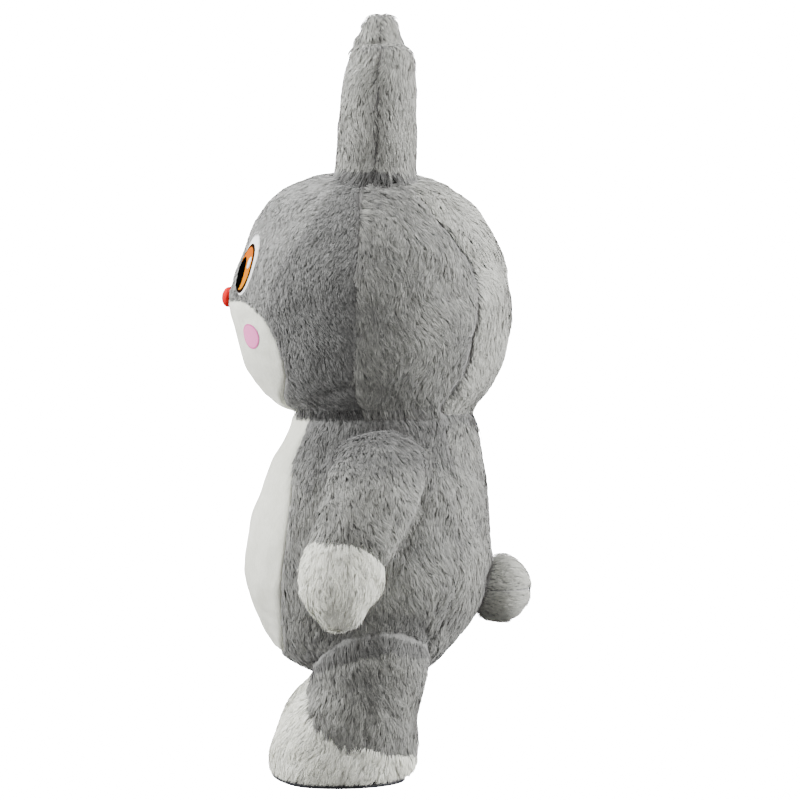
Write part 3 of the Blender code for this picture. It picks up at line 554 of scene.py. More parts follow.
@dataclass(frozen=True, eq=False)
class TailForm(Form):
    """The round tail. Angle 0 is its top, and its rings stand upright."""

    def point(self, station: Array, angle: Array) -> Array:
        """The form's surface at ring numbers and angles from the top."""
        station, angle = np.broadcast_arrays(np.asarray(station, float), np.asarray(angle, float))
        half_height = np.maximum(self.column(1, station), 0)
        x = self.column(2, station) * np.sin(angle)
        z = TAIL_CENTRE_HEIGHT + half_height * np.cos(angle)
        return np.stack([x, self.column(0, station), z], axis=-1)

    def inside(self, points: Array, margin: float) -> Array:
        """Which points lie inside the tail by more than the margin."""
        station = self.station(points[..., 1])
        up = (points[..., 2] - TAIL_CENTRE_HEIGHT) / np.maximum(self.column(1, station) - margin, 1e-4)
        across = points[..., 0] / np.maximum(self.column(2, station) - margin, 1e-4)
        along = (points[..., 1] > self.rings[0, 0]) & (points[..., 1] < self.rings[-1, 0] - margin)
        return (up**2 + across**2 < 1) & along


HEAD = UprightForm(np.array(HEAD_RINGS), crown_drop=CROWN_END_DROP)
HEAD_MIRRORED = UprightForm(np.array(HEAD_RINGS), side=-1, crown_drop=CROWN_END_DROP)
TORSO = UprightForm(np.array(TORSO_RINGS))
TORSO_MIRRORED = UprightForm(np.array(TORSO_RINGS), side=-1)
LEGS = {s: UprightForm(np.array(LEG_RINGS), side=s.value, centre=LEG_CENTRE, is_leg=True) for s in Side}
EARS = {s: UprightForm(np.array(EAR_RINGS), side=s.value) for s in Side}
ARMS = {s: ArmForm(np.array(ARM_RINGS), side=s.value, end=(0, 0, -1)) for s in Side}
TAIL = TailForm(np.array(TAIL_RINGS), start=(0, -1, 0), end=(0, 1, 0))
# The forms of left and right panels, in the order of the sides
HEADS = (HEAD, HEAD_MIRRORED)
TORSOS = (TORSO, TORSO_MIRRORED)
# Which edge of a form's panels lies at the neck
NECK_EDGES = {HEAD: "b", HEAD_MIRRORED: "b", TORSO: "t", TORSO_MIRRORED: "t"}


# Creases and beds


@dataclass(frozen=True)
class Crease:
    """A soft trough pressed into the cloth, or a ridge where its depth is negative.

    Attributes:
        form: The form that it lies on.
        path: Its points, as the place along the form and degrees round it.
        width: How far its slopes reach to each side.
        depth: How deep it is at its middle.
        lip: How much of its depth the cloth swells by along its sides.
    """

    form: Form
    path: tuple[tuple[float, float], ...]
    width: float
    depth: float
    lip: float = 0.35

    def line(self) -> Array:
        """Points along the crease on the form's surface."""
        places, degrees = (np.array(values, float) for values in zip(*self.path))
        at = np.linspace(0, len(places) - 1, 8 * (len(places) - 1) + 1)
        station = self.form.station(smooth(places, at))
        return self.form.point(station, np.radians(smooth(degrees, at)))

    def drop(self, points: Array) -> Array:
        """How far the crease presses the cloth in at each point."""
        line = self.line()
        best = np.full(points.shape[:-1], 1e9)
        share = np.zeros(points.shape[:-1])
        steps = len(line) - 1
        for k in range(steps):
            run = line[k + 1] - line[k]
            t = np.clip((points - line[k]) @ run / max(run @ run, 1e-12), 0, 1)
            away = np.linalg.norm(points - line[k] - t[..., None] * run, axis=-1)
            nearer = away < best
            best = np.where(nearer, away, best)
            share = np.where(nearer, (k + t) / steps, share)
        ends = np.sqrt(np.clip(np.sin(math.pi * np.clip(share, 0.02, 0.98)), 0, 1))
        lip = bell(best - 2.1 * self.width, self.width)
        return self.depth * ends * (bell(best, self.width) - self.lip * lip)


@dataclass(frozen=True)
class Oval:
    """An oval on the head: a face piece's outline, and the bed that the cloth makes for it."""

    height: float
    degrees: float
    half_width: float
    half_height: float

    @property
    def radius(self) -> float:
        """The head's half width at the oval's middle."""
        return float(HEAD.column(3, HEAD.station(np.array(self.height))))

    def spot(self, across: Array, up: Array, lift: Array, side: int) -> Array:
        """Points on the head at offsets from the oval's middle, moved out by lift."""
        angle = side * (math.radians(self.degrees) + across / self.radius)
        station = HEAD.station(self.height + up)
        return HEAD.point(station, angle) + HEAD.normal(station, angle) * lift[..., None]

    def share(self, points: Array) -> Array:
        """How far points are from the middle: 1 on the outline, on either side of the head."""
        station = HEAD.station(points[..., 2])
        front, back, half_width = (HEAD.column(k, station) for k in (1, 2, 3))
        sine = np.abs(points[..., 0]) / half_width
        cosine = ((front + back) / 2 - points[..., 1]) / np.maximum((back - front) / 2, 1e-4)
        across = (np.arctan2(sine, cosine) - math.radians(self.degrees)) * self.radius / self.half_width
        up = (points[..., 2] - self.height) / self.half_height
        return np.sqrt(across**2 + up**2)


EYE_WHITE = Oval(1.7455, 28.2, 0.065, 0.1045)
EYE_IRIS = Oval(1.732, 27.2, 0.057, 0.084)
EYE_PUPIL = Oval(1.716, 25.0, 0.031, 0.056)
EYE_GLINT = Oval(1.748, 31.0, 0.011, 0.020)
CHEEK = Oval(1.501, 31.5, 0.056, 0.042)
NOSE = Oval(1.6475, 0.0, 0.056, 0.035)
PATCH_CLEARANCE = 0.0004
PATCH_THICKNESS = 0.0014
PATCH_LAYER_STEP = 0.0019
BEDS = (EYE_WHITE, CHEEK, NOSE)
BED_INSET = 0.0006
# How far out the cloth rises from a bed, and the pile is short round it, as shares of the oval
BED_END = 1.28
BED_PILE = 0.55
BED_PILE_END = 1.5
# Half of the bake map that a face piece fills
MAP_RADIUS = 0.48

CREASES = (
    # Where the head's cloth is drawn in beside the ear and folds towards the neck
    Crease(HEAD, ((1.30, 62), (1.33, 80), (1.31, 100)), 0.020, 0.006),
    Crease(HEAD, ((1.93, 60), (2.0, 66), (2.03, 78)), 0.014, 0.005),
    Crease(HEAD_MIRRORED, ((1.29, 70), (1.34, 92), (1.30, 118)), 0.021, 0.006),
    Crease(HEAD_MIRRORED, ((1.95, 58), (2.01, 69)), 0.015, 0.005),
    # Soft folds of the body under the arm, above the leg and at the back
    Crease(TORSO, ((0.98, 118), (0.90, 112), (0.80, 104), (0.72, 99)), 0.024, 0.006),
    Crease(TORSO, ((1.10, 124), (1.02, 132), (0.93, 138)), 0.020, 0.005),
    Crease(TORSO, ((0.56, 118), (0.50, 128), (0.46, 136)), 0.018, 0.006),
    Crease(TORSO, ((0.60, 62), (0.54, 70), (0.50, 82)), 0.020, 0.005),
    Crease(TORSO, ((1.16, 58), (1.08, 60), (0.98, 62)), 0.018, 0.006),
    Crease(TORSO_MIRRORED, ((1.00, 120), (0.90, 110), (0.78, 106)), 0.024, 0.006),
    Crease(TORSO_MIRRORED, ((0.58, 112), (0.52, 126), (0.47, 138)), 0.019, 0.006),
    Crease(TORSO_MIRRORED, ((1.15, 60), (1.05, 57), (0.96, 63)), 0.018, 0.006),
    Crease(TORSO_MIRRORED, ((0.62, 64), (0.55, 74)), 0.020, 0.005),
    # The arms pucker at the shoulder and hang in long soft folds
    Crease(ARMS[Side.LEFT], ((1.06, 60), (1.045, 90), (1.055, 125)), 0.022, 0.003),
    Crease(ARMS[Side.LEFT], ((1.03, 150), (0.93, 140), (0.84, 128)), 0.018, 0.006),
    Crease(ARMS[Side.LEFT], ((0.99, 40), (0.90, 52), (0.83, 60)), 0.017, 0.004),
    Crease(ARMS[Side.RIGHT], ((1.06, 50), (1.04, 88), (1.06, 120)), 0.022, 0.003),
    Crease(ARMS[Side.RIGHT], ((1.02, 148), (0.95, 132), (0.86, 124)), 0.019, 0.006),
    Crease(ARMS[Side.RIGHT], ((0.98, 36), (0.88, 50)), 0.017, 0.004),
    # The legs fold where they enter the body and sag over the foot
    Crease(LEGS[Side.LEFT], ((0.435, 60), (0.45, 85), (0.44, 112)), 0.020, 0.003),
    Crease(LEGS[Side.LEFT], ((0.36, 20), (0.33, 52), (0.30, 78)), 0.015, 0.004),
    Crease(LEGS[Side.LEFT], ((0.30, 108), (0.25, 122), (0.22, 140)), 0.015, 0.005),
    Crease(LEGS[Side.RIGHT], ((0.43, 56), (0.45, 90), (0.435, 118)), 0.020, 0.003),
    Crease(LEGS[Side.RIGHT], ((0.35, 24), (0.32, 60)), 0.015, 0.004),
    Crease(LEGS[Side.RIGHT], ((0.31, 112), (0.25, 128)), 0.015, 0.005),
    # The ears are pinched below their tips and pucker at the head
    Crease(EARS[Side.LEFT], ((2.482, 50), (2.487, 80), (2.480, 112)), 0.011, 0.006),
    Crease(EARS[Side.LEFT], ((2.10, 70), (2.085, 95), (2.10, 120)), 0.012, 0.005),
    Crease(EARS[Side.LEFT], ((2.40, 40), (2.44, 70)), 0.010, 0.003),
    Crease(EARS[Side.RIGHT], ((2.488, 24), (2.49, 70), (2.484, 118)), 0.008, 0.006),
    Crease(EARS[Side.RIGHT], ((2.11, 64), (2.085, 92), (2.10, 126)), 0.012, 0.005),
    Crease(EARS[Side.RIGHT], ((2.41, 130), (2.45, 104)), 0.010, 0.003),
)


# Finishes


@dataclass
class Nodes:
    """Adds nodes to a material or a world, and links them as they come.

    Attributes:
        tree: The node tree that they go into.
    """

    tree: bpy.types.NodeTree

    def put(self, socket: bpy.types.NodeSocket, value: object) -> None:
        """Link another node's output to a socket, or set the socket's own value."""
        if isinstance(value, bpy.types.NodeSocket):
            self.tree.links.new(value, socket)
        elif socket.type == "RGBA":
            socket.default_value = (*value, 1)
        else:
            socket.default_value = value

    def add(self, kind: str, inputs: Optional[dict] = None, **settings: object) -> bpy.types.Node:
        """Add a node.

        Args:
            kind: The node's type, without the shader prefix.
            inputs: Numbers, colours or other nodes' outputs for its sockets, by name or number.
            settings: The node's own settings.

        Returns:
            The node.
        """
        node = self.tree.nodes.new("ShaderNode" + kind)
        for key, value in settings.items():
            setattr(node, key, value)
        for key, value in (inputs or {}).items():
            self.put(node.inputs[key], value)
        return node

    def noise(self, vector: bpy.types.NodeSocket, scale: float, detail: float = 2.0) -> bpy.types.NodeSocket:
        """Noise of so many cells a metre."""
        return self.add("TexNoise", {"Vector": vector, "Scale": scale, "Detail": detail}).outputs["Fac"]

    def mix(self, share: object, a: object, b: object, blend: str = "MIX") -> bpy.types.NodeSocket:
        """Two colours mixed by a share."""
        return self.add("Mix", {0: share, 6: a, 7: b}, data_type="RGBA", blend_type=blend).outputs[2]

    def math(self, operation: str, a: object, b: object) -> bpy.types.NodeSocket:
        """The sum or the difference of two numbers."""
        return self.add("Math", {0: a, 1: b}, operation=operation).outputs[0]

    def spread(self, value: bpy.types.NodeSocket, low: float, high: float) -> bpy.types.NodeSocket:
        """A value stretched so that low becomes 0 and high becomes 1."""
        return self.add("MapRange", {"Value": value, "From Min": low, "From Max": high}).outputs["Result"]

    def place(self) -> bpy.types.NodeSocket:
        """The place on the piece, in metres."""
        return self.add("TexCoord").outputs["Object"]

    def spot(self) -> tuple[bpy.types.NodeSocket, bpy.types.NodeSocket]:
        """The place on the bake map: a strand's tone and how far along it, or across and up a felt piece."""
        node = self.add("UVMap", uv_map=BAKE_MAP)
        split = self.add("SeparateXYZ", {"Vector": node.outputs["UV"]})
        return split.outputs["X"], split.outputs["Y"]

    def bump(self, height: bpy.types.NodeSocket, strength: float, distance: float) -> bpy.types.NodeSocket:
        """A bumped normal from a height."""
        inputs = {"Height": height, "Strength": strength, "Distance": distance}
        return self.add("Bump", inputs).outputs["Normal"]


@dataclass(frozen=True)
class Finish:
    """What every finish has.

    Attributes:
        name: The material's name.
    """

    name: str

    def look(self, nodes: Nodes) -> dict[str, object]:
        """What goes into the shader's sockets: other nodes' outputs, or even values."""
        raise NotImplementedError

    def build(self) -> bpy.types.Material:
        """Make the material."""
        made = bpy.data.materials.new(self.name)
        made.use_nodes = True
        nodes = Nodes(made.node_tree)
        shader = made.node_tree.nodes["Principled BSDF"]
        for socket, value in self.look(nodes).items():
            nodes.put(shader.inputs[socket], value)
        return made


@dataclass(frozen=True)
class PileFinish(Finish):
    """The finish of strands of pile, with painted shade at the root and the full colour at the tip.

    Attributes:
        dark: A strand of the darkest tone.
        light: A strand of the lightest tone.
        root: How much of its colour a strand keeps at its root, under the painted shade.
    """

    dark: Colour
    light: Colour
    root: float

    def look(self, nodes: Nodes) -> dict[str, object]:
        """What goes into the shader's sockets."""
        tone, along = nodes.spot()
        colour = nodes.mix(tone, self.dark, self.light)
        # Painted shade: the colour darkens towards each strand's root
        shading = nodes.mix(nodes.spread(along, 0.0, 0.75), (self.root,) * 3, WHITE)
        return {
            "Base Color": nodes.mix(1.0, colour, shading, "MULTIPLY"),
            "Roughness": 0.85,
            "Specular IOR Level": 0.25,
            "Sheen Weight": 0.3,
            "Sheen Roughness": 0.45,
        }


@dataclass(frozen=True)
class ClothFinish(Finish):
    """The finish of the knitted backing under pile, or of short plush.

    Attributes:
        base: Its main colour.
        shade: Its colour in the shaded spots between tufts.
        grain: How many tufts a metre.
        depth: How deep the tufts are, in metres.
        sheen: How strongly it glows at its edges.
    """

    base: Colour
    shade: Colour
    grain: float = 420.0
    depth: float = 0.0012
    sheen: float = 0.3

    def look(self, nodes: Nodes) -> dict[str, object]:
        """What goes into the shader's sockets."""
        place = nodes.place()
        stretch = nodes.add("Mapping", {"Vector": place, "Scale": (1.0, 1.0, 0.35)}).outputs["Vector"]
        fine, broad = nodes.noise(stretch, self.grain, 3.0), nodes.noise(stretch, 0.25 * self.grain)
        tufts = nodes.math("ADD", fine, broad)
        tone = nodes.math("ADD", tufts, nodes.noise(place, 14.0, 3.0))
        return {
            "Base Color": nodes.mix(nodes.spread(tone, 1.2, 1.8), self.shade, self.base),
            "Normal": nodes.bump(tufts, 0.6, 2 * self.depth),
            "Roughness": 0.92,
            "Specular IOR Level": 0.2,
            "Sheen Weight": self.sheen,
            "Sheen Roughness": 0.5,
        }


@dataclass(frozen=True)
class FeltFinish(Finish):
    """The finish of a smooth felt face piece, with a darker line round it.

    Attributes:
        upper: Its colour at the top.
        lower: Its colour at the bottom.
        rim: The colour of the line round it.
        rim_from: Where the line begins, as a share of the way out.
    """

    upper: Colour
    lower: Colour
    rim: Colour
    rim_from: float = 0.93

    def look(self, nodes: Nodes) -> dict[str, object]:
        """What goes into the shader's sockets."""
        across, up = nodes.spot()
        centred = {"X": nodes.math("SUBTRACT", across, 0.5), "Y": nodes.math("SUBTRACT", up, 0.5)}
        spot = nodes.add("CombineXYZ", centred).outputs[0]
        out = nodes.add("VectorMath", {0: spot}, operation="LENGTH").outputs["Value"]
        fibres = nodes.noise(nodes.place(), 900.0)
        graded = nodes.mix(nodes.spread(up, 0.2, 0.8), self.lower, self.upper)
        fluff = nodes.mix(nodes.spread(fibres, 0.35, 0.65), (0.86,) * 3, WHITE)
        line = nodes.spread(out, 0.48 * self.rim_from, 0.48 * self.rim_from + 0.012)
        return {
            "Base Color": nodes.mix(line, nodes.mix(1.0, graded, fluff, "MULTIPLY"), self.rim),
            "Normal": nodes.bump(fibres, 0.25, 0.0006),
            "Roughness": 0.7,
            "Specular IOR Level": 0.0,
        }


@dataclass(frozen=True)
class HardFinish(Finish):
    """The finish of rubber, tape or metal, with fine grain and worn spots.

    Attributes:
        base: Its colour.
        worn: Its colour where it is worn or dusty.
        roughness: How dull it is.
        metallic: 1 for metal.
        grain: How many grains a metre.
    """

    base: Colour
    worn: Colour
    roughness: float
    metallic: float = 0.0
    grain: float = 500.0

    def look(self, nodes: Nodes) -> dict[str, object]:
        """What goes into the shader's sockets."""
        place = nodes.place()
        patches = nodes.spread(nodes.noise(place, 30.0, 4.0), 0.45, 0.75)
        return {
            "Base Color": nodes.mix(patches, self.base, self.worn),
            "Normal": nodes.bump(nodes.noise(place, self.grain), 0.3, 0.0004),
            "Roughness": self.roughness,
            "Metallic": self.metallic,
        }


WHITE = (1.0, 1.0, 1.0)
PUPIL_BLACK = (0.001, 0.001, 0.001)
CHEEK_PINK = (0.92, 0.26, 0.56)
IRIS_RIM = (0.012, 0.006, 0.004)
GREY_PILE = PileFinish("grey_long_pile", (0.20, 0.20, 0.196), (0.50, 0.504, 0.462), 0.86)
FACE_PILE = PileFinish("grey_short_pile", (0.18, 0.18, 0.177), (0.36, 0.362, 0.35), 0.88)
WHITE_PILE = PileFinish("white_long_pile", (0.89, 0.895, 0.81), (0.995, 1.0, 0.90), 0.97)
GREY_BACKING = ClothFinish("grey_backing", (0.34, 0.34, 0.33), (0.22, 0.22, 0.215))
WHITE_BACKING = ClothFinish("white_backing", (0.96, 0.965, 0.88), (0.88, 0.88, 0.81))
WHITE_PLUSH = ClothFinish("white_plush", (0.885, 0.893, 0.79), (0.74, 0.75, 0.65), grain=460.0)
NOSE_CLOTH = ClothFinish("nose_red_plush", (0.78, 0.0005, 0.003), (0.58, 0.0, 0.002), grain=700.0, sheen=0.0)
EYE_WHITE_FELT = FeltFinish("eye_white_felt", (0.95, 0.96, 0.96), (0.90, 0.91, 0.91), (0.84, 0.85, 0.85))
EYE_IRIS_FELT = FeltFinish("eye_orange_felt", (0.56, 0.12, 0.0), (0.66, 0.22, 0.0), IRIS_RIM, 0.85)
EYE_PUPIL_FELT = FeltFinish("eye_black_felt", PUPIL_BLACK, PUPIL_BLACK, PUPIL_BLACK)
CHEEK_FELT = FeltFinish("cheek_pink_felt", CHEEK_PINK, CHEEK_PINK, (0.66, 0.13, 0.36), 0.88)
SOLE_RUBBER = HardFinish("sole_black_rubber", (0.012, 0.012, 0.018), (0.03, 0.03, 0.036), 0.6)
TAPE_CLOTH = HardFinish("zip_tape_cloth", (0.022, 0.023, 0.022), (0.040, 0.040, 0.039), 0.8, grain=1400.0)
ZIP_NICKEL = HardFinish("zip_nickel", (0.15, 0.15, 0.155), (0.09, 0.09, 0.095), 0.42, 1.0, grain=900.0)


@dataclass
class Finishes:
    """The materials that are made so far, each once."""

    made: dict[str, bpy.types.Material] = field(default_factory=dict)

    def get(self, finish: Finish) -> bpy.types.Material:
        """The material of a finish."""
        if finish.name not in self.made:
            self.made[finish.name] = finish.build()
        return self.made[finish.name]


FINISHES = Finishes()


# Meshes


def clear_selection() -> None:
    """Deselect everything, and leave edit mode."""
    if bpy.context.mode != "OBJECT":
        bpy.ops.object.mode_set(mode="OBJECT")
    bpy.ops.object.select_all(action="DESELECT")


def make_active(obj: bpy.types.Object) -> None:
    """Select one object alone."""
    clear_selection()
    obj.select_set(True)
    bpy.context.view_layer.objects.active = obj


@contextmanager
def editing(obj: bpy.types.Object, picked: Optional[Callable[..., bool]] = None) -> Iterator[None]:
    """Edit mode on one object, with all of it selected or only the picked faces.

    Args:
        obj: The object.
        picked: Tells whether a face is selected. Without it every face is.

    Yields:
        Nothing, while edit mode lasts.
    """
    make_active(obj)
    bpy.ops.object.mode_set(mode="EDIT")
    bpy.ops.mesh.select_mode(type="FACE")
    bpy.ops.mesh.select_all(action="DESELECT" if picked else "SELECT")
    if picked:
        bpy.ops.object.mode_set(mode="OBJECT")
        for face in obj.data.polygons:
            face.select = picked(face)
        bpy.ops.object.mode_set(mode="EDIT")
    yield
    bpy.ops.object.mode_set(mode="OBJECT")


def smooth_by_angle(obj: bpy.types.Object, degrees: float) -> None:
    """Shade an object smooth, apart from edges sharper than an angle."""
    make_active(obj)
    bpy.ops.object.shade_smooth_by_angle(angle=math.radians(degrees))


def linked(name: str, data: bpy.types.ID) -> bpy.types.Object:
    """A new object in the scene."""
    obj = bpy.data.objects.new(name, data)
    bpy.context.scene.collection.objects.link(obj)
    return obj


def mesh_object(name: str, points: Array, faces: Array, uv: Optional[Array] = None) -> bpy.types.Object:
    """A mesh object from arrays.

    Args:
        name: The piece's name.
        points: The mesh's points.
        faces: Corner numbers, one face a row.
        uv: A place on the bake map for each point.

    Returns:
        The object, linked to the scene.
    """
    mesh = bpy.data.meshes.new(name)
    count, corners = faces.shape
    mesh.vertices.add(len(points))
    mesh.vertices.foreach_set("co", np.ascontiguousarray(points, np.float32).ravel())
    mesh.loops.add(count * corners)
    mesh.loops.foreach_set("vertex_index", np.ascontiguousarray(faces, np.int32).ravel())
    mesh.polygons.add(count)
    mesh.polygons.foreach_set("loop_start", np.arange(0, count * corners, corners, dtype=np.int32))
    mesh.update(calc_edges=True)
    if uv is not None:
        layer = mesh.uv_layers.new(name=BAKE_MAP)
        layer.data.foreach_set("uv", np.ascontiguousarray(uv[faces.ravel()], np.float32).ravel())
    return linked(name, mesh)


def apply_modifier(obj: bpy.types.Object, kind: str, **settings: object) -> None:
    """Add a modifier to an object and apply it."""
    make_active(obj)
    modifier = obj.modifiers.new(kind.lower(), kind)
    for key, value in settings.items():
        setattr(modifier, key, value)
    bpy.ops.object.modifier_apply(modifier=modifier.name)


def dress(obj: bpy.types.Object, finish: Finish, body: Body = Body.COSTUME) -> bpy.types.Object:
    """Give a piece its finish and the body that it rides on."""
    obj.data.materials.clear()
    obj.data.materials.append(FINISHES.get(finish))
    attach(obj, body.value)
    LOG.info("%s: %d faces", obj.name, len(obj.data.polygons))
    return obj


# Cloth panels


@dataclass(frozen=True)
class Cut:
    """A stretch of a form between its seams.

    Attributes:
        low: The ring number of its lower edge, at shares across.
        high: The ring number of its upper edge.
        left: The angle of its first side edge, at ring numbers.
        right: The angle of its other side edge.
        seams: Which edges are sewn: any of l, r, b and t.
    """

    low: Reading
    high: Reading
    left: Reading
    right: Reading
    seams: str = "lrbt"


@dataclass
class Grid:
    """Points on the cloth, with what the pile needs to know there.

    Attributes:
        points: The points: rows and columns of a cut, or spots one a row.
        normals: The way that the cloth faces.
        across: The way square to the cut's columns, towards its other side edge.
        edges: How far each point is from the left, right, bottom and top edges.
    """

    points: Array
    normals: Array
    across: Array
    edges: dict[str, Array]


@dataclass
class Roots(Grid):
    """The spots that strands grow from.

    Attributes:
        share: How much of the pile's length a strand has.
        parting: How far the pile turns away from a parted seam.
    """

    share: Array
    parting: Array


@dataclass(frozen=True)
class Pile:
    """How the pile grows on a panel.

    Attributes:
        finish: The strands' finish.
        length: How long a strand is, in metres.
        lift: How far its tip stands off the cloth.
        width: How wide it is at its widest.
        density: How many strands stand on a square metre.
        lay: Which way it is combed, as a direction at each point.
        clump: How many strands lean together.
        clumping: How far they lean together, from 0 to 1.
        wander: How far clumps turn aside, in degrees.
        sway: How far broad waves turn the pile aside, in degrees.
        tone: The strands' middle tone, from 0, dark, to 1, light; on some panels it carries painted light and
            shade.
        parting: How far the pile turns away from a parted seam.
        parted: The side edges where it parts: any of l and r.
        parting_top: The height up to which it parts.
        fringe: How much longer the pile is along the lower edge.
        join_fringe: How much longer it is beside a form that covers part of the panel.
        join_shade: How much painted shade darkens it there.
        join_reach: How far from that form.
        shade_top: The height up to which it is.
        hem_shade: How much painted shade darkens it beside a form that it lies over.
        low_shade: How much painted shade darkens it along the lower edge.
        high_shade: How much painted shade darkens it along the upper edge.
        neck_shade: How much painted shadow of the head darkens it from the chest up to the neck.
    """

    finish: PileFinish
    length: float
    lift: float
    width: float
    density: float
    lay: Reading
    clump: int = 9
    clumping: float = 0.25
    wander: float = 9.0
    sway: float = 18.0
    tone: float = 0.5
    parting: float = 0.0
    parted: str = ""
    parting_top: float = NO_TOP
    fringe: float = 0.0
    join_fringe: float = 0.25
    join_shade: float = 0.12
    join_reach: float = 0.03
    shade_top: float = NO_TOP
    hem_shade: float = 0.0
    low_shade: float = 0.0
    high_shade: float = 0.0
    neck_shade: float = 0.0

    def tones(self, roots: Roots, near_seam: Array) -> Array:
        """The strands' tones where they grow, with painted shade at seams, hems and the neck."""
        root, edges = roots.points, roots.edges
        tone = self.tone + 0.08 * waves(root, 0.20, "tone") + 0.05 * waves(root, 0.05, "small_tone")
        # Painted shade in a parted seam
        tone -= PARTING_SHADE * roots.parting * near_seam
        for edge, shade in (("b", self.low_shade), ("t", self.high_shade)):
            tone -= shade * np.exp(-edges[edge] / HEM_REACH)
        return tone - self.neck_shade * fade(root[:, 2], *NECK_SHADOW)

    def comb(self, roots: Roots) -> tuple[Array, Array]:
        """Which way the pile lies where it grows, and how near that is to a parted seam."""
        normal, across = roots.normals, roots.across
        lay = unit(self.lay(roots.points))
        near_seam = np.zeros(len(lay))
        for edge in self.parted:
            away = 1 if edge == "l" else -1
            gap = roots.edges[edge]
            crossing = COMBED_BACK * bell(gap, COMBED_REACH) * (lay * across).sum(axis=1)
            lay -= (crossing - away * roots.parting * np.exp(-gap / PARTING_REACH))[:, None] * across
            near_seam = np.maximum(near_seam, bell(gap, SEAM_REACH))
        lay = unit(lay - (lay * normal).sum(axis=1, keepdims=True) * normal)
        sway = waves(roots.points, 0.19, "sway") + 0.3 * waves(roots.points, 0.06, "small_sway")
        return turned(lay, normal, math.radians(self.sway) * sway), near_seam


